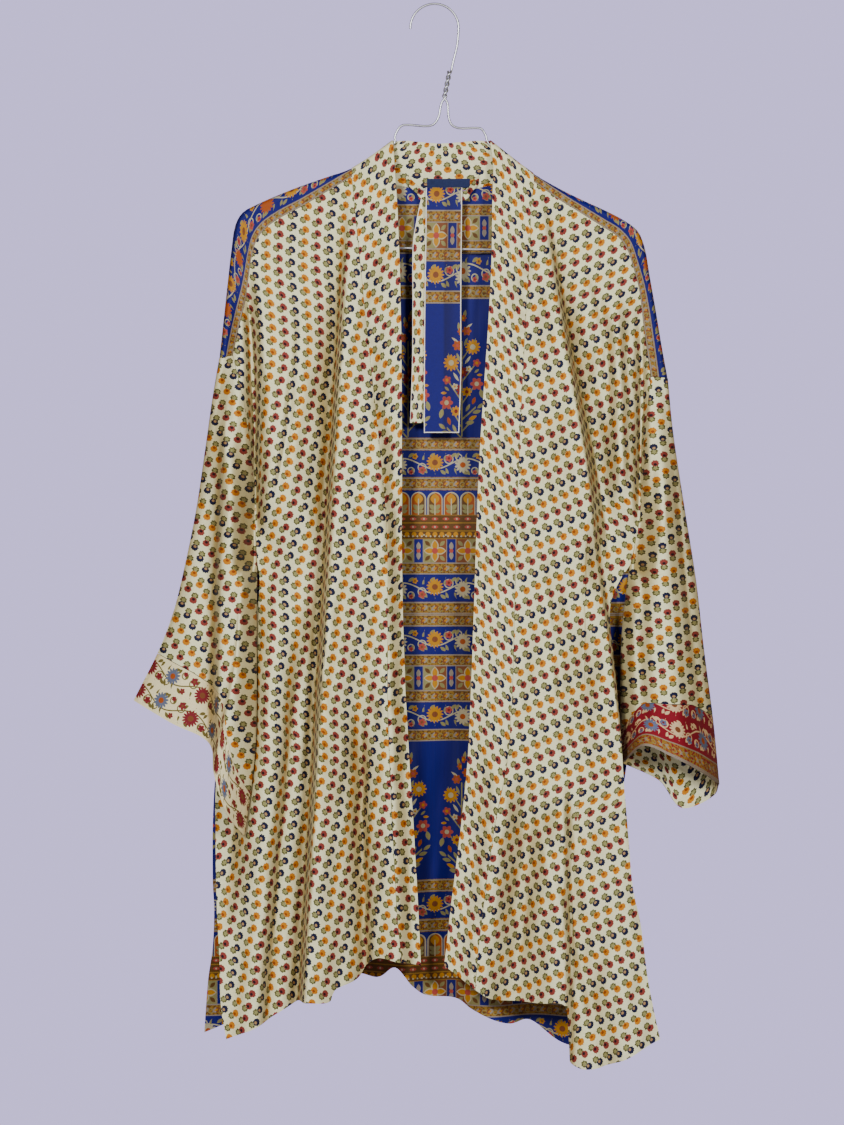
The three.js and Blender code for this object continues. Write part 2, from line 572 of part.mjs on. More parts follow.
function hanger() {
  const hook = steps(HOOK.steps, HOOK.tipDegrees, 0).map((degrees) => {
    const a = degToRad(degrees);
    return at([HOOK.x + HOOK.radius * Math.cos(a), HOOK.z + HOOK.radius * Math.sin(a)]);
  });
  const [top, bottom] = [at(TWIST.top), at(TWIST.bottom)];
  const axis = bottom.clone().sub(top);
  const side = new THREE.Vector3(axis.z, 0, -axis.x).normalize();
  const strand = (phase) =>
    steps(TWIST.steps).map((t) => {
      const a = phase + 2 * Math.PI * TWIST.turns * t;
      const p = top.clone().addScaledVector(axis, t).addScaledVector(side, TWIST.radius * Math.cos(a));
      return p.setY(TWIST.radius * Math.sin(a));
    });
  const arm = (fold) => {
    const stations = fold.slice(0, ARM_STATIONS);
    const clear = BAND / 2 + GAP + WIRE;
    return stations.map((p, i) => {
      const run = stations[Math.min(i + 1, stations.length - 1)].clone().sub(stations[Math.max(i - 1, 0)]);
      const below = new THREE.Vector3(run.z, 0, -run.x).normalize();
      return p.clone().addScaledVector(below, below.z > 0 ? -clear : clear);
    });
  };
  const route = [
    ...hook,
    ...SHANK.map(at),
    ...strand(Math.PI),
    ...LEG_RIGHT.map(at),
    ...arm(FOLDS[0]),
    ...TIP_RIGHT.map(at),
    ...TIP_LEFT.map(at),
    ...arm(FOLDS[1]).reverse(),
    ...LEG_LEFT.map(at).reverse(),
    ...strand(0).reverse(),
  ];
  const section = new THREE.Shape(
    steps(WIRE_SIDES, 0, 2 * Math.PI)
      .slice(1)
      .map((a) => new THREE.Vector2(WIRE * Math.cos(a), WIRE * Math.sin(a))),
  );
  return new THREE.ExtrudeGeometry(section, {
    steps: route.length - 1,
    extrudePath: new WireRoute(route, false, "centripetal"),
    bevelEnabled: false,
  });
}

const layered = (grid, thickness, options) => wall(grid, layerNormals(grid), thickness, options);
const loose = (grid, thickness) => wall(grid, gridNormals(grid), thickness);
const back = backPanel();
piece("back", layered(back, CLOTH), "cream");
piece("back_lining", layered(back, LINING, { out: -(CLOTH + LINING) / 2 - GAP }), "sari");
piece("front_right", layered(frontPanel(RIGHT), CLOTH), "cream");
piece("front_left", layered(frontPanel(LEFT), CLOTH), "cream");
piece("neckband", layered(neckband(), BAND), "cream");
piece("shoulder_strip_right", layered(shoulderStrip(RIGHT), CLOTH), "gold");
piece("shoulder_strip_left", layered(shoulderStrip(LEFT), CLOTH), "gold");
addSleeve("sleeve_right", "cuff_right", "vine", RIGHT, SLEEVE_RIGHT);
addSleeve("sleeve_left", "cuff_left", "crimson", LEFT, SLEEVE_LEFT);
piece("sash", loose(sash(), SASH), "sari");
piece("hanging_loop", loose(hangingLoop(), LOOP.wall), "cream");
piece("label", layered(label(), LABEL.wall, { out: -(BAND + LABEL.wall) / 2 - GAP }), "navy");
piece("hanger", hanger(), "wire");

export default kimono;
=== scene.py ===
# A short kimono jacket of printed silk, lined with sari silk, with its sash, on a twisted wire hanger.
# Sizes are in millimetres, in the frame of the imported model: X to the viewer's right, which is the
# wearer's left, Y away from the viewer, Z up, and the origin at the top inside the hanger's hook.
import math
import random

import bpy
import numpy as np
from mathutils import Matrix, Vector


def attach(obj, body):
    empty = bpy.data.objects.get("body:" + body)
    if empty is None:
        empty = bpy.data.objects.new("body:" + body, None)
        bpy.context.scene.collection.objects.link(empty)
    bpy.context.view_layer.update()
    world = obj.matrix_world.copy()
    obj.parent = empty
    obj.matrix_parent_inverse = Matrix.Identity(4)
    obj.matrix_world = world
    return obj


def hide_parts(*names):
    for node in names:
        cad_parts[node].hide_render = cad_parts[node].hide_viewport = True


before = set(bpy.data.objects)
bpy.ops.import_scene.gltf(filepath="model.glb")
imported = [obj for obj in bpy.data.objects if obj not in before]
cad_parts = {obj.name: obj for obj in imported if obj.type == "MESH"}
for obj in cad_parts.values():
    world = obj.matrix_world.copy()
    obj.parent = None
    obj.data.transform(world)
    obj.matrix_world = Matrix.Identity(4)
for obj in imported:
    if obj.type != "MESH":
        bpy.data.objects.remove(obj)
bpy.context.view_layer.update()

# Camera. It looks straight at the hanger's plane, and one pixel of the 844 by 1125 picture is 1 mm there.
MM = 0.001
VIEW = {"x": -13, "z": -557.5, "distance": 3000, "height": 1125, "sensor": 36}
bpy.ops.object.camera_add(
    location=(VIEW["x"] * MM, -VIEW["distance"] * MM, VIEW["z"] * MM), rotation=(math.pi / 2, 0, 0)
)
camera = bpy.context.object
camera.data.sensor_width = VIEW["sensor"]
camera.data.lens = VIEW["sensor"] * VIEW["distance"] / VIEW["height"]
bpy.context.scene.camera = camera

# Back of the body. One panel of printed silk hangs from the two shoulder seams and the neckband, with soft
# flutes down it. It is cut straight and hemmed. The sides are left open below the arms.
GAP = 0.3  # clear space at every seam
CLOTH = 1.2  # wall of each panel: printed silk, with its lining where that doesn't show
BEND = 5  # radius of the cloth over the wire
SPREAD = 60  # length below the shoulder over which the cloth moves out to its depth
SETTLE = 25  # length below the shoulder over which folds begin
PINCH = 45  # reach of the underarm seams, which draw front and back together
NARROWED = 0.35  # share of its depth that the body keeps at an underarm seam
STRIP_RIGHT = [  # fold x, fold z, seam x, seam z at each place along the shoulder
    (-83, -164, -83, -173),
    (-109, -173, -108, -188),
    (-135, -182, -133, -203),
    (-160, -192, -157, -216),
    (-178, -200, -171, -227),
    (-192, -208, -179, -240),
    (-199, -220, -183, -256),
    (-203, -245, -186, -276),
    (-207, -280, -190, -300),
    (-211, -317, -196, -327),
    (-215, -353, -201, -351),
]
STRIP_LEFT = [
    (98, -169, 99, -178),
    (122, -183, 121, -194),
    (146, -195, 145, -209),
    (170, -206, 167, -223),
    (189, -216, 182, -233),
    (202, -226, 191, -245),
    (209, -242, 197, -262),
    (214, -270, 203, -284),
    (220, -304, 207, -312),
    (226, -340, 211, -342),
    (232, -373, 215, -372),
]
RIGHT = {
    "sign": -1,
    "neck": (-42, -136),
    "fold": [row[:2] for row in STRIP_RIGHT],
    "seam": [row[2:] for row in STRIP_RIGHT],
    "armhole": [(-201, -351), (-190, -400), (-182, -470), (-178, -555)],
    "back_side": [(-178, -555), (-192, -610), (-208, -690), (-221, -775), (-223.5, -875), (-222, -907),
                  (-223.5, -945), (-228, -977), (-232, -1030)],
}
LEFT = {
    "sign": 1,
    "neck": (55, -136),
    "fold": [row[:2] for row in STRIP_LEFT],
    "seam": [row[2:] for row in STRIP_LEFT],
    "armhole": [(215, -372), (211, -415), (208, -470), (203, -520), (195, -560)],
    "back_side": [(195, -560), (197, -600), (197, -680), (195, -735), (192, -765), (188, -795),
                  (187, -860), (188, -920), (190, -980), (192, -1045)],
}
BACK_HEM = [(-232, -1030), (-195, -1015), (-135, -990), (-80, -972), (-57, -975), (-40, -964), (-23, -982),
            (-10, -992), (24, -997), (37, -1006), (75, -1021), (94, -1018), (129, -1040), (192, -1045)]
NECK_SEAM = [(-83, -173), (-62, -176), (-40, -179), (-10, -184), (25, -185), (55, -180), (78, -178),
             (99, -178)]
ARMHOLE_SHARE = {"back": 6 / 18, "front": 6 / 22}  # how much of a panel's outer side is its armhole
PER_GAP = 12  # points between two named points of a line
FINE_GAP = 40  # and in the finer line that a smooth line is cut from
LINE_STEPS = 240  # steps of the smooth line down a panel's side or along its hem
NECK_STEPS = 12 * PER_GAP
ARMHOLE_STEPS = 6 * PER_GAP
BACK_GRID = (150, 250)  # columns and rows
FOLD_BEGINS = (-0.05, 0.25)  # shares of its length over which a fold rises
FOLD_ENDS = (0.8, 1.15)  # shares of its length over which a fold above the hem dies away
HEM_FOLDS = -940  # a fold whose foot lies below this runs out at the hem
CREASES = 16  # number of fine creases that are laid over each other
CREASE_WIDTH = (16, 58)
CREASE_LENGTH = (120, 320)
CREASE_LEAN = (-0.35, 0.35)  # sideways for each step down
CREASE_STEP = 90  # width over which a crease's strength changes
CREASE_SHARE = 1 / 3  # of all creases together, so that they reach about the height that is asked for
TURN = 6.3  # about one full turn of a wave
# Painted fold shade: how strongly steep and deep places of a cloth are darkened in their colour.
FOLD_SHADE_STEEP = (0.22, 0.9)  # sideways share of a normal where a fold's painted shade begins and is full
FOLD_SHADE_REACH = 14  # points across, over which a fold is compared with the cloth around it for its painted shade
FOLD_SHADE_DEPTH = 8.0  # a fold this deep has its full painted shade
FOLD_SHADE_SHARES = {"steep": 0.75, "deep": 0.7}  # how much each of the two adds to a fold's painted shade
CELL = (1.5, 4)  # spacing of the places, across and down, at which a layer's folds are measured
CLOTH_EDGE = math.radians(50)  # a cloth's faces that meet at more than this show an edge

# Each fold: top, middle and foot as (x, z), height, and its reach to the left and right of the picture.
BACK_FOLDS = [
    ((-165, -420), (-180, -700), (-196, -1020), 11, 20, 20),
    ((-110, -330), (-118, -660), (-128, -1000), -8, 22, 22),
    ((-60, -420), (-66, -700), (-72, -980), 13, 18, 20),
    ((-24, -700), (-26, -840), (-30, -975), -9, 14, 14),
    ((22, -520), (18, -760), (12, -1000), 9, 20, 20),
    ((62, -420), (60, -720), (56, -1010), -9, 18, 18),
    ((112, -340), (106, -680), (100, -1030), 12, 22, 22),
    ((160, -440), (152, -740), (146, -1040), -8, 18, 18),
]


def curve_points(points, per_gap=PER_GAP):
    """A smooth curve through some points, with the same number of steps in each gap between them."""
    p = np.asarray(points, float)
    p = np.vstack([2 * p[0] - p[1], p, 2 * p[-1] - p[-2]])
    t = np.linspace(0, 1, per_gap, endpoint=False)[:, None]
    runs = []
    for a, b, c, d in zip(p, p[1:], p[2:], p[3:]):
        ab, bc, cd = (max(np.linalg.norm(q - r), 1e-6) ** 0.5 for q, r in ((b, a), (c, b), (d, c)))
        start = ((b - a) / ab - (c - a) / (ab + bc) + (c - b) / bc) * bc
        end = ((c - b) / bc - (d - b) / (bc + cd) + (d - c) / cd) * bc
        square, cube = 3 * (c - b) - 2 * start - end, 2 * (b - c) + start + end
        runs.append(b + start * t + square * t**2 + cube * t**3)
    return np.vstack([*runs, p[-2]])


def line_lengths(line):
    """How far along a line each of its points lies."""
    return np.concatenate([[0], np.cumsum(np.linalg.norm(np.diff(line, axis=0), axis=1))])


def smooth_line(points, count):
    """A smooth line through some points, cut into equal lengths."""
    line = curve_points(points, FINE_GAP)
    length = line_lengths(line)
    places = np.linspace(0, length[-1], count + 1)
    return np.stack([np.interp(places, length, line[:, k]) for k in range(line.shape[1])], axis=1)


def along(stations, t):
    """Places on a line of stations, at shares t of their number."""
    stations = np.asarray(stations, float)
    s = np.clip(t, 0, 1) * (len(stations) - 1)
    index = np.arange(len(stations))
    return np.stack([np.interp(s, index, stations[:, k]) for k in range(stations.shape[1])], axis=1)


def patch(top, foot, inner, outer, u, v):
    """Places in a panel between four lines: u across its top and foot, v down its inner and outer side."""
    u, v = u[:, None], v[:, None]
    across = (1 - v) * along(top, u[:, 0]) + v * along(foot, u[:, 0])
    down = (1 - u) * along(inner, v[:, 0]) + u * along(outer, v[:, 0])
    corners = (1 - v) * ((1 - u) * top[0] + u * top[-1]) + v * ((1 - u) * foot[0] + u * foot[-1])
    return across + down - corners


def smoothstep(t, low, high):
    s = np.clip((t - low) / (high - low), 0, 1)
    return s * s * (3 - 2 * s)


def distance_to(line, x, z):
    """How far places are from a line, in the picture's plane."""
    point = np.stack([x, z], axis=1)
    nearest = np.full(len(x), np.inf)
    for a, b in zip(line, line[1:]):
        run = b - a
        t = np.clip((point - a) @ run / (run @ run), 0, 1)
        nearest = np.minimum(nearest, np.linalg.norm(point - a - t[:, None] * run, axis=1))
    return nearest


def fold_line(side):
    return curve_points([side["neck"], *side["fold"]], 3)


FOLD_LINES = [fold_line(RIGHT), fold_line(LEFT)]
UNDERARMS = [side["armhole"][-1] for side in (RIGHT, LEFT)]


def fold_heights(folds, x, z):
    """How far a layer's folds move it at each place."""
    total = np.zeros(len(x))
    for top, middle, foot, height, left, right in folds:
        drop = top[1] - foot[1]
        t = (top[1] - z) / drop
        centre = np.interp(t, [0, (top[1] - middle[1]) / drop, 1], [top[0], middle[0], foot[0]])
        off = x - centre
        stays = 1 if foot[1] < HEM_FOLDS else 1 - smoothstep(t, *FOLD_ENDS)
        reach = np.where(off < 0, left, right)
        total += height * smoothstep(t, *FOLD_BEGINS) * stays * np.exp(-((off / reach) ** 2))
    return total


def slack(x, z, seed, height):
    """Fine slack in silk: shallow creases, long down the cloth and narrow across it."""
    chance = random.Random(seed)
    total = np.zeros(len(x))
    for _ in range(CREASES):
        across = chance.uniform(*CREASE_WIDTH)
        lean = chance.uniform(*CREASE_LEAN)
        down = chance.uniform(*CREASE_LENGTH)
        start, turn = chance.uniform(0, TURN), chance.uniform(0, TURN)
        strength = 0.5 + 0.5 * np.sin(z / down * TURN + x / CREASE_STEP + turn)
        total += across / CREASE_WIDTH[1] * strength * np.sin((x + lean * z) / across * TURN + start)
    return height * total * CREASE_SHARE


def layer_depth(x, z, layer):
    """Depth of one layer of the body: nothing at the shoulder's fold, more below it, with its folds."""
    d = np.minimum(*(distance_to(line, x, z) for line in FOLD_LINES))
    over_wire = np.sqrt(np.maximum(BEND**2 - (BEND - np.minimum(d, BEND)) ** 2, 0))
    below = np.maximum(d - BEND, 0)
    hang = (layer["depth"] - BEND) * (1 - np.exp(-below / SPREAD))
    moved = fold_heights(layer["folds"], x, z) + slack(x, z, layer["seed"], layer["slack"])
    folded = moved * (1 - np.exp(-below / SETTLE))
    underarm = np.minimum(*(np.hypot(x - p[0], z - p[1]) for p in UNDERARMS))
    free = 1 - np.exp(-((underarm / PINCH) ** 2))
    hung = (BEND + (hang + folded) * free) * (NARROWED + (1 - NARROWED) * free)
    return np.where(d < BEND, over_wire, np.maximum(hung, layer["least"]))


BACK_LAYER = {"way": 1, "depth": 17, "folds": BACK_FOLDS, "least": 3.4, "seed": 5, "slack": 1.0}


def on_layer(place, layer, out):
    """Puts places (x, z) on a layer of the body, as (x, y, z), and moves them that far out of it."""
    x, z = place.T
    return np.stack([x, layer["way"] * (layer_depth(x, z, layer) + out), z], axis=1)


def on_back(place, out=0):
    return on_layer(place, BACK_LAYER, out)


def outer_side(side, name, share):
    """The armhole and then the open side of a panel, with each at its share of the panel's rows."""
    armhole_steps = round(LINE_STEPS * share)
    return np.vstack([
        smooth_line(side["armhole"], armhole_steps),
        smooth_line(side[name], LINE_STEPS - armhole_steps)[1:],
    ])


def back_form(u, v):
    seams = [curve_points(side["seam"]) for side in (RIGHT, LEFT)]
    neck = smooth_line(NECK_SEAM, NECK_STEPS)
    top = np.vstack([seams[0][::-1], neck[1:-1], seams[1]])
    sides = [outer_side(side, "back_side", ARMHOLE_SHARE["back"]) for side in (RIGHT, LEFT)]
    return on_back(patch(top, smooth_line(BACK_HEM, LINE_STEPS), *sides, u, v))


def in_rows(u, v, hung):
    """The hanging places of a cut panel in its rows and columns, and the row and column of each point."""
    rows, columns = len(np.unique(v.round(6))), len(np.unique(u.round(6)))
    i, j = np.rint(v * (rows - 1)).astype(int), np.rint(u * (columns - 1)).astype(int)
    grid = np.zeros((rows, columns, 3))
    grid[i, j] = hung
    return grid, i, j


def painted_fold_shade(u, v, hung, facing):
    """How much shade is painted into each point of a cloth, from 0 to 1: more where it lies deep in its folds
    and where it is steep. A panel without a facing is taken as a rolled one, whose first half faces the
    viewer."""
    grid, i, j = in_rows(u, v, hung)
    columns = grid.shape[1]
    normal = np.cross(np.gradient(grid, axis=1), np.gradient(grid, axis=0))
    normal /= np.maximum(np.linalg.norm(normal, axis=2), 1e-6)[..., None]
    steep = smoothstep(np.abs(normal[..., 0]), *FOLD_SHADE_STEEP)
    if facing is None:
        out = np.where(np.arange(columns) < columns / 2, -1, 1)
    else:
        out = facing[1] or 1
    stands = grid[..., 1] * out
    side = FOLD_SHADE_REACH // 2
    wide = np.pad(stands, ((0, 0), (side, side)), mode="edge")
    around = np.mean([wide[:, k:k + columns] for k in range(2 * side + 1)], axis=0)
    deep = np.clip((around - stands) / FOLD_SHADE_DEPTH, 0, 1)
    return np.clip(FOLD_SHADE_SHARES["steep"] * steep + FOLD_SHADE_SHARES["deep"] * deep, 0, 1)[i, j]


def cut_cloth(name, grid, form, facing=None):
    """A flat cut panel, whose points are then moved onto the form in which it hangs. Also gives each
    point's share across the panel and down it, and its hanging place."""
    bpy.ops.object.select_all(action="DESELECT")
    bpy.ops.mesh.primitive_grid_add(x_subdivisions=grid[0], y_subdivisions=grid[1], size=1)
    cloth = bpy.context.object
    cloth.name = name
    mesh = cloth.data
    flat = np.zeros(len(mesh.vertices) * 3)
    mesh.vertices.foreach_get("co", flat)
    flat = flat.reshape(-1, 3)
    u, v = flat[:, 0] + 0.5, 0.5 - flat[:, 1]
    hung = form(u, v)
    mesh.vertices.foreach_set("co", (hung * MM).ravel())
    mesh.update()
    # Each point keeps the strength of the shade painted into its colour in the folds.
    mesh.attributes.new("Painted fold shade", "FLOAT", "POINT").data.foreach_set("value", painted_fold_shade(u, v, hung, facing))
    if facing is not None:
        normals = np.array([face.normal for face in mesh.polygons])
        if (normals @ np.array(facing)).mean() < 0:
            mesh.flip_normals()
    return cloth, u, v, hung


def lay_print(cloth, place):
    """Writes where each point lies on the flat printed silk, in metres, as the UV map that prints read."""
    mesh = cloth.data
    corners = np.zeros(len(mesh.loops), int)
    mesh.loops.foreach_get("vertex_index", corners)
    mesh.uv_layers[0].name = "Print"
    mesh.uv_layers["Print"].data.foreach_set("uv", (place[corners] * MM).ravel())


def taken_up(x, z, layer, start):
    """How much further from a start line a place lies on the flat cloth than it looks, because of folds."""
    xs = np.arange(x.min() - CELL[0], x.max() + 2 * CELL[0], CELL[0])
    zs = np.arange(z.min() - CELL[1], z.max() + 2 * CELL[1], CELL[1])
    every = [axis.ravel() for axis in np.meshgrid(xs, zs)]
    depth = layer_depth(*every, layer).reshape(len(zs), len(xs))
    more = np.hypot(np.diff(depth, axis=1), CELL[0]) - CELL[0]
    total = np.insert(np.cumsum(more, axis=1), 0, 0, axis=1)
    total -= total[:, [int((start - xs[0]) / CELL[0])]]
    i, j = (z - zs[0]) / CELL[1], (x - xs[0]) / CELL[0]
    row, column = i.astype(int), j.astype(int)
    i, j = i - row, j - column
    upper = total[row, column] * (1 - j) + total[row, column + 1] * j
    lower = total[row + 1, column] * (1 - j) + total[row + 1, column + 1] * j
    return upper * (1 - i) + lower * i


def grain(hung, degrees, layer=None, start=0.0, rows=1):
    """Print places of a hanging panel, whose motifs point that many degrees up from the picture's right."""
    x, z = hung[:, 0], hung[:, 2]
    if layer:
        x = x + taken_up(x, z, layer, start)
    a = math.radians(degrees)
    ahead = x * math.cos(a) + z * math.sin(a)
    beside = z * math.cos(a) - x * math.sin(a)
    return np.stack([ahead, rows * beside], axis=1)


def pick(cloth):
    """Selects one object and nothing else."""
    bpy.ops.object.select_all(action="DESELECT")
    cloth.select_set(True)
    bpy.context.view_layer.objects.active = cloth


def stitch_wall(cloth, thickness, *materials, rounded=0.0):
    """Gives a panel its wall. A second material goes on its inner side."""
    for material in materials:
        cloth.data.materials.append(material)
    pick(cloth)
    wall = cloth.modifiers.new("Wall", "SOLIDIFY")
    wall.thickness = thickness * MM
    wall.offset = 0
    wall.use_even_offset = False
    wall.material_offset = len(materials) - 1
    bpy.ops.object.modifier_apply(modifier=wall.name)
    if rounded:
        edge = cloth.modifiers.new("Rounded edge", "BEVEL")
        edge.width = rounded * MM
        edge.segments = 2
        edge.limit_method = "ANGLE"
        edge.angle_limit = CLOTH_EDGE
        bpy.ops.object.modifier_apply(modifier=edge.name)
    bpy.ops.object.shade_smooth_by_angle(angle=CLOTH_EDGE)


def hang(cloth, slot, width, length, node, held="hung", rests_on=("hanger",)):
    """Attaches a piece of cloth to the root and hides the CAD node that it stands for."""
    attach(cloth, "root")
    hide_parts(node)
    width * MM
    length * MM


class Reading:
    """A number that changes over the cloth. Sums of readings build a print's nodes."""

    def __init__(self, tree, socket):
        self.tree, self.socket = tree, socket

    def made(self, operation, *others):
        node = self.tree.nodes.new("ShaderNodeMath")
        node.operation = operation
        for place, value in enumerate((self, *others)):
            plug(self.tree, node.inputs[place], value)
        return Reading(self.tree, node.outputs[0])

    def __add__(self, other):
        return self.made("ADD", other)

    def __sub__(self, other):
        return self.made("SUBTRACT", other)

    def __mul__(self, other):
        return self.made("MULTIPLY", other)

    def __truediv__(self, other):
        return self.made("DIVIDE", other)

    def __abs__(self):
        return self.made("ABSOLUTE")

    def __lt__(self, other):
        return self.made("LESS_THAN", other)

    def __gt__(self, other):
        return self.made("GREATER_THAN", other)

    __radd__ = __add__
    __rmul__ = __mul__


def plug(tree, socket, value):
    """Links a reading or a socket, or else sets the socket's own value."""
    if isinstance(value, Reading):
        value = value.socket
    if isinstance(value, bpy.types.NodeSocket):
        tree.links.new(value, socket)
    else:
        socket.default_value = value


def repeated(reading, period):
    """A reading that starts again at each period, from minus half of it to half."""
    return reading.made("WRAP", period / 2, -period / 2)


def reach_of(a, b):
    return (a * a + b * b).made("SQRT")


def between(reading, low, high):
    return (reading > low) * (reading < high)


def dye(red, green, blue):
    """A colour as it is seen, from 0 to 255, as the linear colour that a shader takes."""
    shares = [c / 255 for c in (red, green, blue)]
    return (*(c / 12.92 if c < 0.0405 else ((c + 0.055) / 1.055) ** 2.4 for c in shares), 1)


def painted(tree, mask, over, under, blend="MIX"):
    """One colour over another where the mask is 1."""
    node = tree.nodes.new("ShaderNodeMix")
    node.data_type = "RGBA"
    node.blend_type = blend
    plug(tree, node.inputs[0], mask)
    plug(tree, node.inputs[6], under)
    plug(tree, node.inputs[7], over)
    return node.outputs[2]


def layered(tree, colour, *layers):
    """A colour with others laid over it in turn, each where its own mask is 1."""
    for mask, over in layers:
        colour = painted(tree, mask, over, colour)
    return colour


def new_group(name, inputs, outputs):
    """An empty shader node group with named sockets, its input node and its output node."""
    group = bpy.data.node_groups.new(name, "ShaderNodeTree")
    for names, way in ((inputs, "INPUT"), (outputs, "OUTPUT")):
        for socket, kind in names.items():
            group.interface.new_socket(socket, in_out=way, socket_type="NodeSocket" + kind)
    return group, group.nodes.new("NodeGroupInput"), group.nodes.new("NodeGroupOutput")


def millimetres(tree, vector):
    """The first two numbers of a place in metres, as readings in millimetres."""
    parts = tree.nodes.new("ShaderNodeSeparateXYZ")
    plug(tree, parts.inputs[0], vector)
    return [Reading(tree, parts.outputs[k]) * 1000 for k in (0, 1)]


def noise(tree, vector, stretch, detail=2.0):
    """A cloudy reading from 0 to 1, with that many clouds to a metre along each way of the vector."""
    mapping = tree.nodes.new("ShaderNodeMapping")
    mapping.inputs["Scale"].default_value = stretch
    plug(tree, mapping.inputs["Vector"], vector)
    cloud = tree.nodes.new("ShaderNodeTexNoise")
    cloud.inputs["Scale"].default_value = 1
    cloud.inputs["Detail"].default_value = detail
    plug(tree, cloud.inputs["Vector"], mapping.outputs[0])
    return Reading(tree, cloud.outputs["Fac"])


SLUBS = {"across": (210, 1100, 1), "down": (1100, 190, 1)}  # slubs to a metre, across the cloth and down it
PATCHES = {"spread": (26, 26, 1), "tone": 0.16}  # wide places where the silk is a little paler or darker


def make_silk_weave():
    """Slubs of raw silk: the tone changes a little along the threads, and the slubs stand out."""
    group, given, result = new_group("Silk weave", {"Place": "Vector", "Slub": "Float"},
                                     {"Tone": "Float", "Height": "Float"})
    place = given.outputs["Place"]
    slubs = noise(group, place, SLUBS["across"]) + noise(group, place, SLUBS["down"]) - 1
    patches = noise(group, place, PATCHES["spread"], 3)
    slub = Reading(group, given.outputs["Slub"])
    plug(group, result.inputs["Tone"], slubs * slub + (patches - 0.5) * PATCHES["tone"] + 1)
    plug(group, result.inputs["Height"], slubs)
    return group


silk_weave = make_silk_weave()

# Printed sprigs: each is a scalloped flower head on a pale leafy base. Along the motif they repeat at pitch,
# rows are a row apart and each row is moved by half a pitch. The heads are rose, navy and mustard in turn.
SPRIG = {"pitch": 16.4, "row": 9.3}
SPRIG_PARTS = {  # middle along the motif, half length, half width, scallops, depth of a scallop
    "base": (-2.5, 3.1, 3.6, 7, 0.09),
    "leaves": (-2.7, 1.7, 2.1, 5, 0.28),
    "notch": (-0.35, 0.7, 1.0, 2, 0.0),
    "head": (2.35, 3.1, 3.9, 9, 0.06),
    "eye": (1.25, 1.2, 1.6, 5, 0.06),
}
SPRIG_WEAR = {"spots": (800, 800, 1), "depth": 0.5}  # how ragged the printed edges are
CREAM = dye(221, 220, 177)
SPRIG_HEADS = [  # petals, eye
    (dye(124, 48, 42), dye(30, 6, 16)),
    (dye(14, 18, 50), dye(156, 122, 80)),
    (dye(180, 112, 4), dye(132, 60, 2)),
]
SPRIG_BASE = dye(74, 74, 36)
SPRIG_LEAVES = dye(136, 134, 84)


def scalloped(p, q, middle, long, wide, scallops, depth):
    """How far out a place lies in a scalloped oval. It is 1 at the oval's rim."""
    x, z = (p - middle) / long, q / wide
    return reach_of(x, z) + (z.made("ARCTAN2", x) * scallops).made("COSINE") * depth


def make_sprigs():
    group, given, result = new_group("Sprig print", {"Place": "Vector"}, {"Color": "Color"})
    u, v = millimetres(group, given.outputs["Place"])
    row = (v / SPRIG["row"]).made("ROUND")
    q = v - row * SPRIG["row"]
    place = u / SPRIG["pitch"] - row * 0.5
    column = place.made("ROUND")
    p = (place - column) * SPRIG["pitch"]
    kind = column.made("FLOORED_MODULO", 3)
    worn = (noise(group, given.outputs["Place"], SPRIG_WEAR["spots"]) - 0.5) * SPRIG_WEAR["depth"]
    inside = {name: scalloped(p, q, *part) + worn < 1 for name, part in SPRIG_PARTS.items()}
    petals, centre = SPRIG_HEADS[0]
    for k in (1, 2):
        this = between(kind, k - 0.5, k + 0.5)
        petals = painted(group, this, SPRIG_HEADS[k][0], petals)
        centre = painted(group, this, SPRIG_HEADS[k][1], centre)
    dyes = {"base": SPRIG_BASE, "leaves": SPRIG_LEAVES, "notch": CREAM, "head": petals, "eye": centre}
    colour = layered(group, CREAM, *((inside[name], dyed) for name, dyed in dyes.items()))
    plug(group, result.inputs["Color"], colour)
    return group


sprig_print = make_sprigs()


def new_material(name):
    """A material with only its Principled shader and output."""
    material = bpy.data.materials.new(name)
    material.use_nodes = True
    return material, material.node_tree, material.node_tree.nodes["Principled BSDF"]


def use_group(tree, group, **given):
    node = tree.nodes.new("ShaderNodeGroup")
    node.node_tree = group
    for name, value in given.items():
        plug(tree, node.inputs[name.replace("_", " ")], value)
    return node


def toned(tree, colour, tone):
    """A colour made lighter or darker by a reading."""
    grey = tree.nodes.new("ShaderNodeCombineColor")
    for k in range(3):
        plug(tree, grey.inputs[k], tone)
    return painted(tree, 1, grey.outputs[0], colour, blend="MULTIPLY")


SILK_SHINE = {"Sheen Weight": 0.06, "Sheen Roughness": 0.4, "Specular IOR Level": 0.18}
SILK_RELIEF = 0.6  # strength of the slubs' relief
SLUB_DEPTH = 0.25
PRINTED_SLUB, SARI_SLUB = 0.22, 0.3  # how much slubs change the tone of each silk
PRINTED_ROUGHNESS, SARI_ROUGHNESS = 0.72, 0.6
FOLD_SHADE_DYE = (0.52, 0.4, 0.24, 1)  # painted shade: a warm brown multiplied into the colour where the cloth is steep or deep in its folds


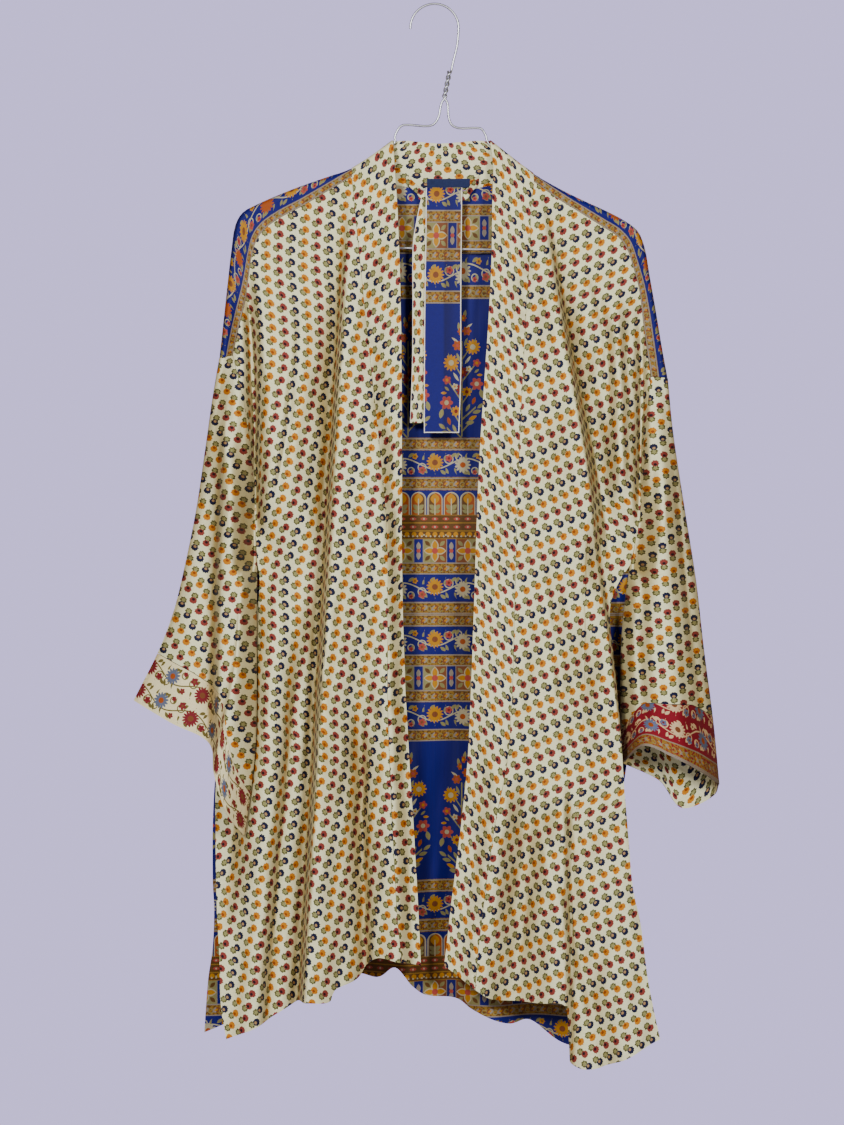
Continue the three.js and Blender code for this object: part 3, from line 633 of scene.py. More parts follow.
def silk_finish(tree, shader, colour, place, slub, depth=SLUB_DEPTH, roughness=PRINTED_ROUGHNESS):
    """Silk's slubs, its soft shine and its relief, over a print's colour, with a warm shade painted into the
    colour where the cloth is steep or deep in its folds.
    """
    weave = use_group(tree, silk_weave, Place=place, Slub=slub)
    # Painted shade: the fold attribute multiplies a warm brown into the colour where the cloth is steep or
    # deep in its folds.
    fold = tree.nodes.new("ShaderNodeAttribute")
    fold.attribute_name = "Painted fold shade"
    silk = toned(tree, colour, weave.outputs["Tone"])
    warm = painted(tree, fold.outputs["Fac"], FOLD_SHADE_DYE, silk, blend="MULTIPLY")
    plug(tree, shader.inputs["Base Color"], warm)
    relief = tree.nodes.new("ShaderNodeBump")
    relief.inputs["Strength"].default_value = SILK_RELIEF
    relief.inputs["Distance"].default_value = depth * MM
    plug(tree, relief.inputs["Height"], weave.outputs["Height"])
    plug(tree, shader.inputs["Normal"], relief.outputs["Normal"])
    shader.inputs["Roughness"].default_value = roughness
    for name, value in SILK_SHINE.items():
        shader.inputs[name].default_value = value


def print_place(tree):
    node = tree.nodes.new("ShaderNodeUVMap")
    node.uv_map = "Print"
    return node.outputs[0]


def make_cream_silk():
    material, tree, shader = new_material("Cream silk with sprigs")
    place = print_place(tree)
    sprigs = use_group(tree, sprig_print, Place=place)
    silk_finish(tree, shader, sprigs.outputs["Color"], place, PRINTED_SLUB)
    return material


cream_silk = make_cream_silk()
back, *_, hung = cut_cloth("back_panel", BACK_GRID, back_form, facing=(0, 1, 0))
lay_print(back, grain(hung, 90, BACK_LAYER))
stitch_wall(back, CLOTH, cream_silk)
hang(back, "cream_silk", 450, 840, "back")

# Lining of the back, in an old sari: deep blue, banded across with gold edges, flowering vines, arches and
# quatrefoils, and with a row of bushes on each plain stretch. It lies inside the back and is hemmed with it.
LINING = 1.0
SARI_PERIOD = 444.0
SARI_GOLD_HALF = 6.2  # half the width of a gold band
SARI_BLUE = dye(5, 6, 96)
SARI_GOLD = dye(132, 98, 28)
SARI_GOLD_DARK = dye(84, 54, 16)
SARI_LIGHT = dye(160, 152, 122)
SARI_OUTLINE = dye(128, 118, 106)
SARI_BROWN = dye(108, 60, 30)
SARI_ORANGE = dye(144, 66, 10)
SARI_YELLOW = dye(166, 114, 8)
SARI_PINK = dye(150, 60, 50)
SARI_LEAF = dye(122, 116, 72)
SARI_RED = dye(104, 22, 14)
SARI_BANDS = [  # kind, from and to, down the cloth from the top of the picture
    ("plain", 298, 437),
    ("gold", 437, 450),
    ("vine", 450, 476.5),
    ("gold", 476.5, 490),
    ("arches", 490, 514.5),
    ("dots", 514.5, 539),
    ("crosses", 539, 562.5),
    ("gold", 562.5, 574.5),
    ("vine", 574.5, 602),
    ("gold", 602, 614.5),
    ("gold", 614.5, 627),
    ("vine", 627, 655),
    ("gold", 655, 667),
    ("crosses", 667, 690.5),
    ("gold", 690.5, 703),
    ("vine", 703, 730),
    ("gold", 730, 742),
]


def flower(p, q, across, up, size, petals):
    """A flower's petals and its eye, as masks."""
    x, z = p - across, q - up
    angle = z.made("ARCTAN2", x)
    lobes = abs((angle * (petals / 2)).made("COSINE"))
    reach = reach_of(x, z)
    return reach < lobes * (size * 0.36) + size * 0.64, reach < size * 0.34


def leaf(p, q, across, up, length, width, degrees):
    """A pointed leaf that leans that many degrees up from the right, as a mask."""
    x, z = p - across, q - up
    c, s = math.cos(math.radians(degrees)), math.sin(math.radians(degrees))
    ahead = abs(x * c + z * s) / length
    beside = abs(z * c - x * s) / width
    return ahead * ahead + beside < 1


VINE = {"repeat": 64.0, "wave": 5.2, "stem": 0.7, "curl": 1.1, "leaf_pitch": 10.7}
VINE_CURLS = [  # across, up, inner radius
    (14, 4.5, 3.6),
    (-13, -3.6, 3.3),
    (24, 6.5, 2.4),
    (-24, -7, 2.6),
]
VINE_FLOWERS = [  # across, up, size, petals, which colour, eye's colour
    (14, 5.4, 3.8, 5, "Bud", SARI_RED),
    (-13, -6.4, 4.0, 5, "Bud", SARI_BROWN),
    (-20, 7.2, 3.0, 5, "First flower", SARI_BROWN),
    (40, -8.6, 2.6, 5, "Bud", SARI_RED),
    (0, 1.2, 8.6, 15, "First flower", SARI_BROWN),
    (28, -1.2, 8.2, 13, "Second flower", SARI_ORANGE),
]


def make_vine():
    """A flowering vine that waves along a border, with two flowers, buds and leaves in each repeat."""
    group, given, result = new_group(
        "Vine border",
        {"Along": "Float", "Up": "Float", "Ground": "Color", "Stem": "Color", "Leaf": "Color",
         "First flower": "Color", "Second flower": "Color", "Bud": "Color"},
        {"Color": "Color"},
    )
    p = Reading(group, given.outputs["Along"])
    q = Reading(group, given.outputs["Up"])
    wave = (p * (2 * math.pi / VINE["repeat"])).made("COSINE") * VINE["wave"]
    lines = abs(q + wave) < VINE["stem"]
    for across, up, inner in VINE_CURLS:
        reach = reach_of(repeated(p - across, VINE["repeat"]), q - up)
        lines = lines.made("MAXIMUM", between(reach, inner, inner + VINE["curl"]))
    side = repeated(p, VINE["leaf_pitch"])
    turned = q * repeated(p, 2 * VINE["leaf_pitch"]).made("SIGN")
    colour = layered(
        group, given.outputs["Ground"],
        (lines, given.outputs["Stem"]),
        (leaf(side, turned + wave * 0.2, 0.5, 7.2, 4.0, 1.9, 50), given.outputs["Leaf"]),
        (leaf(side, turned, -2.4, -8.6, 3.6, 1.7, -35), given.outputs["Leaf"]),
    )
    for across, up, size, petals, dyed, eye_dye in VINE_FLOWERS:
        petal_mask, eye = flower(repeated(p - across, VINE["repeat"]), q, 0, up, size, petals)
        colour = layered(group, colour, (petal_mask, given.outputs[dyed]), (eye, eye_dye))
    plug(group, result.inputs["Color"], colour)
    return group


GOLD_LINK = 11.0  # length of a link of a gold border's chain of leaves
GOLD_MOTTLE = {"spots": (420, 420, 1), "worn": 0.53}  # worn spots to a metre, and where one begins


def make_gold_edge():
    """A narrow gold border: a chain of worn leaves on a darker ground, with a light thread on each side."""
    group, given, result = new_group(
        "Gold border",
        {"Along": "Float", "Up": "Float", "Half": "Float", "Gold": "Color", "Dark": "Color"},
        {"Color": "Color"},
    )
    p = Reading(group, given.outputs["Along"])
    q = Reading(group, given.outputs["Up"])
    half = Reading(group, given.outputs["Half"])
    place = group.nodes.new("ShaderNodeCombineXYZ")
    plug(group, place.inputs[0], p * MM)
    plug(group, place.inputs[1], q * MM)
    mottle = noise(group, place.outputs[0], GOLD_MOTTLE["spots"], 3)
    link, gap = repeated(p, GOLD_LINK), repeated(p - GOLD_LINK / 2, GOLD_LINK)
    link_dye = painted(group, repeated(p, 2 * GOLD_LINK) > 0, SARI_BROWN, SARI_OUTLINE)
    colour = layered(
        group, given.outputs["Gold"],
        (mottle > GOLD_MOTTLE["worn"], given.outputs["Dark"]),
        (between(reach_of(gap, q + 1), 1.9, 2.7), SARI_LEAF),
        (leaf(link, q, 0, 0, 4.2, 2.6, 28), link_dye),
        (leaf(link, q, 0, 0, 2.2, 1.0, 28), SARI_YELLOW),
        (between(abs(q), half - 1.4, half - 0.2), SARI_OUTLINE),
    )
    plug(group, result.inputs["Color"], colour)
    return group


vine_border = make_vine()
gold_border = make_gold_edge()


# In the drawings below, a leaf is given by its place across and up, half its length, half its width and how
# many degrees it leans. All else is in millimetres too.
CROSS_PITCH = 33.0
ARCH_PITCH = 16.5
DOT_ROW = 8.1
DOT_PITCH = {"flowers": 11.0, "scallops": 7.0, "beads": 4.4}


def paint_crosses(tree, p, q):
    """Four pointed petals on rose and on grey-green grounds in turn, with a narrow blue panel between."""
    x, z = abs(repeated(p, CROSS_PITCH)), abs(q)
    beside = repeated(p + CROSS_PITCH / 2, CROSS_PITCH)
    kind = repeated(p, 2 * CROSS_PITCH) > 0

    def cross(length, width):
        level = leaf(x, z, 5.2, 0, length, width, 0)
        return level.made("MAXIMUM", leaf(x, z, 0, 5.2, length, width, 90))

    return layered(
        tree, painted(tree, kind, SARI_BROWN, SARI_LEAF),
        (leaf(x, z, 7.4, 7.4, 3.6, 1.9, 45), painted(tree, kind, SARI_LEAF, SARI_GOLD_DARK)),
        (cross(6.2, 3.8), SARI_LIGHT),
        (cross(5.2, 2.6), SARI_YELLOW),
        (reach_of(x, z) < 3.0, SARI_PINK),
        (abs(beside) < 5.0, SARI_OUTLINE),
        (abs(beside) < 4.3, SARI_BLUE),
        (leaf(beside, z, 0, 4.6, 4.4, 2.2, 90), SARI_OUTLINE),
        (reach_of(beside, q) < 2.0, SARI_PINK),
    )


def paint_arches(tree, p, q):
    """A row of arches, orange and grey in turn, each with a leafy tree in it, outlined on blue."""
    x = repeated(p, ARCH_PITCH)
    kind = repeated(p, 2 * ARCH_PITCH) > 0
    side = abs(x)
    head = reach_of(x, (q - 3).made("MAXIMUM", 0))
    return layered(
        tree, SARI_BLUE,
        (head < 7.7, SARI_LIGHT),
        (head < 6.7, painted(tree, kind, SARI_ORANGE, SARI_OUTLINE)),
        (head < 5.9, painted(tree, kind, SARI_ORANGE, SARI_GOLD_DARK)),
        (leaf(side, q, 0, 3.8, 5.4, 4.4, 90), SARI_YELLOW),
        (leaf(side, q, 2.6, -4.6, 3.8, 2.2, 40), SARI_LEAF),
        (leaf(side, q, 2.4, -9.0, 3.4, 1.8, 20), SARI_LEAF),
        ((side < 0.6) * (q < 4), SARI_LIGHT),
    )


def paint_dots(tree, p, q):
    """Three narrow gold rows, with small flowers in the upper two and white beads along the lowest."""
    row = repeated(q, DOT_ROW)
    flowers = repeated(p, DOT_PITCH["flowers"])
    return layered(
        tree, SARI_GOLD_DARK,
        (leaf(flowers, row, 0, 0, 3.6, 1.7, 0) * (q > -4), SARI_PINK),
        (reach_of(flowers, row) < 0.9, SARI_LIGHT),
        (abs(repeated(q - DOT_ROW / 2, DOT_ROW)) < 0.6, SARI_GOLD),
        (reach_of(repeated(p, DOT_PITCH["scallops"]), q + 7.4) < 2.4, SARI_YELLOW),
        (reach_of(repeated(p, DOT_PITCH["beads"]), q + 9.4) < 0.9, SARI_LIGHT),
    )


BUSH = {  # "taller" is how far its right half stands above its left one
    "pitch": 54.0, "middle": 27.0, "lift": 5, "taller": 7,
    "stem": 0.7, "stem_top": 92, "branch": 1.1, "branch_top": 96, "reach": 14,
}
BUSH_BRANCHES = [(-6, 1.1), (6, 0.9), (22, 1.4), (44, 1.3), (66, 1.5)]  # start up the stem, slope
BUSH_LEAVES = [  # across, up, half length, half width, lean, colour
    (8, 3, 4.6, 2.2, 10, SARI_LEAF),
    (11, 8, 4.6, 1.8, 25, SARI_YELLOW),
    (15, 14, 4.6, 2.0, 15, SARI_LEAF),
    (19, 20, 4.4, 1.8, 35, SARI_LEAF),
    (12, 25, 4.0, 1.8, 70, SARI_ORANGE),
    (20, 32, 4.8, 2.4, 105, SARI_LEAF),
    (6, 18, 4.4, 1.6, 60, SARI_LEAF),
    (18, 51, 3.0, 1.3, 0, SARI_YELLOW),
    (15, 55, 3.0, 1.2, 40, SARI_LEAF),
    (6, 66, 5.0, 1.3, 55, SARI_LIGHT),
    (4, 84, 4.6, 1.4, 70, SARI_LEAF),
    (3, 112, 4.6, 1.7, 80, SARI_LEAF),
    (7, 100, 4.6, 1.1, 35, SARI_LIGHT),
]
BUSH_FLOWERS = [  # across, up, size, petals, petals' colour, eye's colour
    (15, 42, 6.6, 6, SARI_PINK, SARI_LIGHT),
    (5, 34, 5.2, 8, SARI_YELLOW, SARI_RED),
    (15, 63, 4.2, 5, SARI_PINK, SARI_YELLOW),
    (0, 54, 6.0, 8, SARI_RED, SARI_ORANGE),
    (11, 79, 7.8, 12, SARI_YELLOW, SARI_LIGHT),
    (7, 57, 3.2, 5, SARI_LIGHT, SARI_YELLOW),
    (5, 95, 4.8, 6, SARI_ORANGE, SARI_PINK),
    (1, 108, 3.8, 6, SARI_ORANGE, SARI_YELLOW),
]


def paint_bushes(tree, p, up, colour):
    """Flowering bushes in a row on the plain blue. Their two halves match, but one stands a little higher."""
    across = repeated(p - BUSH["middle"], BUSH["pitch"])
    side = abs(across)
    q = up - (across > 0) * BUSH["taller"]
    colour = painted(tree, (side < BUSH["stem"]) * between(up, -4, BUSH["stem_top"]), SARI_LEAF, colour)
    inside = (side < BUSH["reach"]) * (q < BUSH["branch_top"])
    for start, slope in BUSH_BRANCHES:
        branch = abs(q - start - side * slope) < BUSH["branch"]
        colour = painted(tree, branch * inside, SARI_LEAF, colour)
    for *shape, dyed in BUSH_LEAVES:
        colour = painted(tree, leaf(side, q, *shape), dyed, colour)
    for *shape, dyed, eye_dye in BUSH_FLOWERS:
        petal_mask, eye = flower(side, q, *shape)
        colour = layered(tree, colour, (petal_mask, dyed), (eye, eye_dye))
    return colour


def make_sari_print():
    """The whole banded print. Across is in millimetres, and Down counts from the top of the picture."""
    group, given, result = new_group("Sari print", {"Across": "Float", "Down": "Float"}, {"Color": "Color"})
    p = Reading(group, given.outputs["Across"])
    first = SARI_BANDS[0][1]
    down = (Reading(group, given.outputs["Down"]) - first).made("FLOORED_MODULO", SARI_PERIOD) + first
    masks, offsets = {}, {}
    for kind, start, end in SARI_BANDS:
        inside = between(down, start, end)
        offset = inside * (down * -1 + (start + end) / 2)
        masks[kind] = masks[kind] + inside if kind in masks else inside
        offsets[kind] = offsets[kind] + offset if kind in offsets else offset
    bush_foot = SARI_BANDS[0][2] - BUSH["lift"]
    vine = use_group(group, vine_border, Along=p, Up=offsets["vine"], Ground=SARI_BLUE, Stem=SARI_LIGHT,
                     Leaf=SARI_LEAF, First_flower=SARI_YELLOW, Second_flower=SARI_LIGHT, Bud=SARI_PINK)
    gold = use_group(group, gold_border, Along=p, Up=offsets["gold"], Half=SARI_GOLD_HALF, Gold=SARI_GOLD,
                     Dark=SARI_GOLD_DARK)
    colour = layered(
        group, paint_bushes(group, p, down * -1 + bush_foot, SARI_BLUE),
        (masks["vine"], vine.outputs["Color"]),
        (masks["gold"], gold.outputs["Color"]),
        (masks["crosses"], paint_crosses(group, p, offsets["crosses"])),
        (masks["arches"], paint_arches(group, p, offsets["arches"])),
        (masks["dots"], paint_dots(group, p, offsets["dots"])),
    )
    plug(group, result.inputs["Color"], colour)
    return group


sari_print = make_sari_print()


PICTURE_TOP = VIEW["z"] + VIEW["height"] / 2
NECK_RISE = {"from": 300, "over": 60, "height": 8}  # the bands above 300 mm lie higher, drawn up to the neck


def make_sari_lining():
    """Sari silk whose bands lie level on the hanging garment, at the heights where they show."""
    material, tree, shader = new_material("Sari silk lining")
    place = tree.nodes.new("ShaderNodeTexCoord").outputs["Object"]
    parts = tree.nodes.new("ShaderNodeSeparateXYZ")
    plug(tree, parts.inputs[0], place)
    across = Reading(tree, parts.outputs[0]) * 1000
    down = Reading(tree, parts.outputs[2]) * -1000 + PICTURE_TOP
    share = ((down * -1 + NECK_RISE["from"]) / NECK_RISE["over"]).made("MAXIMUM", 0).made("MINIMUM", 1)
    bands = use_group(tree, sari_print, Across=across, Down=down + share * NECK_RISE["height"])
    silk_finish(tree, shader, bands.outputs["Color"], place, SARI_SLUB, roughness=SARI_ROUGHNESS)
    return material


sari_lining = make_sari_lining()
LINING_IN = -((CLOTH + LINING) / 2 + GAP)


def lining_form(u, v):
    return back_form(u, v) + np.array([0, LINING_IN, 0])


lining, *_ = cut_cloth("back_lining_panel", BACK_GRID, lining_form, facing=(0, -1, 0))
stitch_wall(lining, LINING, sari_lining)
hang(lining, "sari_silk", 450, 840, "back_lining")

# Shoulder strips. Each is a sari border of blue vines, folded over the shoulder and sewn to the back and the
# front. Its gold edge lies along the front seam.
STRIP_GRID = (36, 90)
STRIP_GOLD = 8.5  # width of the gold edge
STRIP_END = GAP / 500  # share of a strip that is left off at each end
STRIP_CROWD = 1.5  # how much its points crowd together at its fold
FRONT_FOLDS = [
    ((-82, -172), (-103, -540), (-128, -985), 22, 4.5, 30),
    ((-92, -220), (-112, -560), (-137, -985), -15, 15, 5),
    ((-130, -240), (-148, -500), (-180, -1000), 9, 16, 14),
    ((-188, -262), (-181, -400), (-178, -560), -20, 5, 6),
    ((-174, -262), (-164, -400), (-162, -600), 7, 9, 12),
    ((-196, -285), (-199, -350), (-200, -430), 10, 12, 10),
    ((-190, -500), (-192, -700), (-212, -900), -23, 44, 14),
    ((-136, -640), (-150, -800), (-166, -990), -9, 5, 9),
    ((-66, -340), (-50, -560), (-37, -960), 14, 20, 10),
    ((-74, -700), (-72, -830), (-69, -965), -12, 11, 6),
    ((101, -176), (147, -454), (187, -775), 23, 30, 4.5),
    ((114, -240), (160, -454), (199, -700), -15, 5, 17),
    ((180, -285), (183, -390), (184, -490), 11, 9, 7),
    ((206, -290), (207, -400), (203, -520), -18, 6, 5),
    ((92, -300), (80, -600), (50, -900), 7, 18, 20),
    ((70, -760), (58, -860), (42, -975), 10, 14, 16),
    ((95, -780), (86, -880), (80, -990), -10, 16, 14),
    ((124, -760), (126, -880), (127, -1000), 14, 22, 7),
    ((176, -780), (180, -900), (190, -1045), 9, 22, 22),
    ((-139, -300), (-146, -428), (-158, -495), -4.5, 4, 6),
    ((-100, -560), (-112, -680), (-118, -790), 3, 4, 7),
    ((-64, -690), (-48, -700), (-35, -712), 3, 8, 8),
    ((105, -795), (140, -930), (170, -1055), -6, 7, 12),
    ((112, -520), (122, -640), (128, -760), -4, 5, 9),
    ((150, -250), (170, -330), (176, -420), -5, 5, 7),
]
FRONT_LAYER = {"way": -1, "depth": 26, "folds": FRONT_FOLDS, "least": 1.6, "seed": 11, "slack": 1.7}
VINE_ROW = {"strip": 27, "cuff": 26}  # height of a row of vines on each border


def on_front(place, out=0):
    return on_layer(place, FRONT_LAYER, out)


def strip_form(side):
    """A strip's form: its back part for the first half of u, its front part for the second."""
    fold, seam = curve_points(side["fold"]), curve_points(side["seam"])

    def form(u, v):
        t = np.clip(v, STRIP_END, 1 - STRIP_END)
        middle, rim = along(fold, t), along(seam, t)
        share = 2 * u - 1
        reach = 1 - GAP / np.linalg.norm(rim - middle, axis=1)
        place = middle + (rim - middle) * (np.abs(share) ** STRIP_CROWD * reach)[:, None]
        return np.where((share > 0)[:, None], on_front(place), on_back(place))

    return form


def lengths_across(grid):
    """How far each point of a panel in rows lies from the first of its row, along the cloth."""
    return np.insert(np.cumsum(np.linalg.norm(np.diff(grid, axis=1), axis=2), axis=1), 0, 0, axis=1)


def strip_print(u, v, hung):
    """Print places on a strip: along the shoulder, and down from its seam on the front."""
    grid, i, j = in_rows(u, v, hung)
    across = lengths_across(grid)
    from_seam = across[:, -1:] - across
    length = line_lengths(grid[:, grid.shape[1] // 2])
    return np.stack([length[i], from_seam[i, j]], axis=1)


def border_rows(tree, places, gold_width, row, **dyes):
    """A gold edge and then rows of vines, for a border that is seen from its edge inward."""
    along_band, inward = places
    up = repeated(inward - gold_width - row / 2, row)
    vine = use_group(tree, vine_border, Along=along_band, Up=up, **dyes)
    edge = use_group(tree, gold_border, Along=along_band, Up=inward - gold_width / 2, Half=gold_width / 2,
                     Gold=SARI_GOLD, Dark=SARI_GOLD_DARK)
    return painted(tree, inward < gold_width, edge.outputs["Color"], vine.outputs["Color"])


def make_strip_silk():
    material, tree, shader = new_material("Blue sari border")
    place = print_place(tree)
    colour = border_rows(tree, millimetres(tree, place), STRIP_GOLD, VINE_ROW["strip"], Ground=SARI_BLUE,
                         Stem=SARI_LIGHT, Leaf=SARI_LEAF, First_flower=SARI_YELLOW,
                         Second_flower=SARI_ORANGE, Bud=SARI_PINK)
    silk_finish(tree, shader, colour, place, SARI_SLUB, roughness=SARI_ROUGHNESS)
    return material


strip_silk = make_strip_silk()
for word, side, width in (("right", RIGHT, 52), ("left", LEFT, 42)):
    name = f"shoulder_strip_{word}_border"
    strip, *places = cut_cloth(name, STRIP_GRID, strip_form(side), facing=(0, 0, 1))
    lay_print(strip, strip_print(*places))
    stitch_wall(strip, CLOTH, strip_silk)
    hang(strip, "border_silk", width, 225, f"shoulder_strip_{word}", held="draped")

# Fronts. Two panels of printed silk, lined with the sari, hang from the shoulder strips and the neckband.
# A long fold falls from each shoulder, and the left front flares at its hem, where it hangs on the bias.
FRONT_GRID = (84, 330)
RIGHT["band_seam"] = [(-83, -173), (-81, -195), (-74, -265), (-69, -316), (-62, -380), (-53, -465),
                      (-48, -530), (-47, -615), (-47, -695), (-45, -755), (-41, -845), (-37, -915),
                      (-33, -953)]
RIGHT["hem"] = [(-33, -953), (-57, -949), (-68, -957), (-77, -970), (-100, -981), (-104, -991), (-132, -992),
                (-148, -1000), (-178, -1018), (-207, -1030)]
RIGHT["side"] = [(-178, -555), (-175, -575), (-177, -605), (-186, -655), (-202, -712), (-217, -765),
                 (-219, -830), (-217, -900), (-214, -945), (-212, -1000), (-207, -1030)]
LEFT["band_seam"] = [(99, -178), (96, -200), (94, -255), (90, -315), (87, -375), (84, -435), (81, -515),
                     (79, -595), (76, -695), (71, -755), (59, -818), (50, -882), (42, -950), (40, -980)]
LEFT["hem"] = [(40, -980), (56, -990), (101, -994), (128, -995), (134, -1052), (148, -1060), (184, -1051),
               (209, -1037), (223, -1030)]
LEFT["side"] = [(195, -560), (185, -575), (175, -597), (173, -620), (176, -650), (180, -695), (185, -755),
                (190, -818), (196, -882), (203, -914), (212, -978), (223, -1030)]


def even_across(points, count):
    """A smooth line through some points, cut into equal steps across the picture."""
    line = curve_points(points, FINE_GAP)
    across = np.maximum.accumulate(np.abs(line[:, 0] - line[0, 0])) + np.arange(len(line)) * 1e-6
    places = np.linspace(0, across[-1], count + 1)
    return np.stack([np.interp(places, across, line[:, k]) for k in (0, 1)], axis=1)


def front_form(side):
    top = curve_points(side["seam"])
    foot = even_across(side["hem"], LINE_STEPS)
    inner = smooth_line(side["band_seam"], LINE_STEPS)
    outer = outer_side(side, "side", ARMHOLE_SHARE["front"])

    def form(u, v):
        return on_front(patch(top, foot, inner, outer, u, v))

    return form


FRONTS = [  # name, side, degrees up from the picture's right to which sprigs point, start line, width
    ("right", RIGHT, 30, -62, 170),
    ("left", LEFT, -28, 75, 140),
]
for word, side, degrees, start, width in FRONTS:
    front, *_, hung = cut_cloth(f"front_{word}_panel", FRONT_GRID, front_form(side), facing=(0, -1, 0))
    lay_print(front, grain(hung, degrees, FRONT_LAYER, start))
    stitch_wall(front, CLOTH, cream_silk, sari_lining)
    hang(front, "cream_silk", width, 850, f"front_{word}")

# Neckband. One straight band of the printed silk, folded double and sewn on all the way up the right front,
# round the back of the neck and down the left front. It puckers a little at its seam.
BAND = 2.4  # wall, folded double
BAND_GRID = (14, 640)
BAND_START = 0.42 / 22.42  # share of a front's edge that lies beside its shoulder strip
BAND_BEND_ROWS = 10
BAND_NECK_ROWS = 90
BAND_NECK_STEPS = {"edge": 120, "seam": 12}  # steps of its lines round the neck
PUCKER = {"pitch": 13.0, "drift": 31, "height": 0.55, "reach": 14.0}
RIGHT["edge"] = [(-42, -136), (-40, -165), (-38, -195), (-35, -265), (-33, -395), (-33, -555), (-32, -615),
                 (-29, -695), (-23, -795), (-18, -875), (-14, -957)]
LEFT["edge"] = [(55, -136), (58, -165), (57, -195), (56, -255), (53, -315), (49, -375), (45, -435),
                (42, -495), (40, -555), (38, -615), (35, -695), (32, -755), (26, -815), (20, -865),
                (15, -905), (9, -957)]
NECK_EDGE = [(-42, -136), (-30, -135), (5, -137), (43, -135), (55, -136)]


def band_front_rows(side, count):
    """The band's edge and seam at each row of a front, from the shoulder down."""
    edge = smooth_line(side["edge"], LINE_STEPS)
    seam = smooth_line(side["band_seam"], LINE_STEPS)
    bend = np.linspace(0, 1, BAND_BEND_ROWS, endpoint=False)[1:]
    shoulder = np.array(side["fold"][0], float)
    v = np.linspace(0, 1, count)
    edges = np.vstack([along(edge, bend * BAND_START), along(edge, BAND_START + v * (1 - BAND_START))])
    seams = np.vstack([shoulder + bend[:, None] * (seam[0] - shoulder), along(seam, v)])
    return edges, seams


def band_rows():
    """The band's edge, its seam and whether it lies on the back, at each row of the whole band."""
    count = (BAND_GRID[1] + 1 - BAND_NECK_ROWS) // 2 - (BAND_BEND_ROWS - 1)
    right, left = (band_front_rows(side, count) for side in (RIGHT, LEFT))
    neck_count = BAND_GRID[1] + 1 - 2 * len(right[0])
    sewn = smooth_line(NECK_SEAM, BAND_NECK_STEPS["seam"])
    seam = np.vstack([RIGHT["fold"][0], sewn, LEFT["fold"][0]])
    t = np.linspace(0, 1, neck_count)
    neck = along(smooth_line(NECK_EDGE, BAND_NECK_STEPS["edge"]), t), along(seam, t)
    edges = np.vstack([right[0][::-1], neck[0], left[0]])
    seams = np.vstack([right[1][::-1], neck[1], left[1]])
    on_neck = np.zeros(len(edges), bool)
    on_neck[len(right[0]):len(right[0]) + neck_count] = True
    return edges, seams, on_neck


def band_form(u, v):
    edges, seams, on_neck = band_rows()
    row = np.rint(v * (len(edges) - 1)).astype(int)
    run = seams[row] - edges[row]
    width = np.linalg.norm(run, axis=1)
    reach = 1 - GAP / width
    place = edges[row] + run * (u * reach)[:, None]
    length = line_lengths(edges)[row]
    from_seam = width * (1 - u)
    wave = np.sin(2 * math.pi * length / PUCKER["pitch"] + 2 * np.sin(length / PUCKER["drift"]))
    pucker = PUCKER["height"] * wave * np.exp(-((from_seam / PUCKER["reach"]) ** 2))
    return np.where(on_neck[row][:, None], on_back(place, -pucker), on_front(place, pucker))


def band_print(u, v, hung):
    """Across the band from its free edge to its seam, and along it."""
    edges, seams, _ = band_rows()
    row = np.rint(v * (len(edges) - 1)).astype(int)
    middles = (edges + seams) / 2
    width = np.linalg.norm(seams - edges, axis=1)[row]
    return np.stack([u * width, line_lengths(middles)[row]], axis=1)


band, *places = cut_cloth("neckband_folded", BAND_GRID, band_form, facing=(0, -1, 0))
lay_print(band, band_print(*places))
stitch_wall(band, BAND, cream_silk, rounded=0.8)
hang(band, "cream_silk", 38, 1780, "neckband")

# Sleeves. Each is a wide straight tube of printed silk with the sari inside, sewn to the armhole. It hangs
# beside the body, nearly flat, with a soft fold down it.
SLEEVE_LENGTH = 350
SLEEVE_GRID = {"around": 150, "down": 130}
SLEEVE_STEPS = 120  # steps of the lines over and under a sleeve and at its end
SLEEVE_TOP = 0.3  # share of its length over which a sleeve rounds out
SLEEVE_ROUND = 0.7  # below 1, a sleeve is rounder near its two sides
SLEEVE_SLACK = 1.3
BESIDE = 24  # width beside the armhole over which a sleeve leaves the body's layers
TURN_SHARE = 0.4  # where the armhole turns over the end of a shoulder strip
SLEEVE_RIGHT = {  # lines as (x, z, y); sprigs point "heads" degrees up, in rows to one side or the other
    "over": [(-215, -353, 0), (-222, -395, -1), (-229, -445, -2), (-238, -505, -2), (-248, -555, -3),
             (-260, -605, -4), (-275, -645, -5), (-300, -695, -6)],
    "under": [(-178, -555, 0.8), (-177.5, -600, -16), (-177, -650, -25), (-177, -700, -29), (-178, -740, -31),
              (-183, -785, -32), (-189, -827, -33)],
    "cuff_front": [(-300, -695, -6), (-262, -716, -15), (-222, -737, -24), (-217, -765, -38),
                   (-205, -804, -41), (-189, -827, -33)],
    "cuff_back": [(-300, -695, -6), (-262, -712, -6), (-226, -730, -14), (-205, -770, -26),
                  (-189, -827, -33)],
    "bulge_front": -13,
    "bulge_back": 2,
    "cuff_length": 52,
    "cuff_round": 260,
    "folds": [
        ((-206, -400), (-211, -560), (-213, -745), 14, 4, 26),
        ((-214, -440), (-222, -600), (-226, -730), -9, 18, 5),
    ],
    "seed": 21,
    "heads": 248,
    "rows": 1,
}
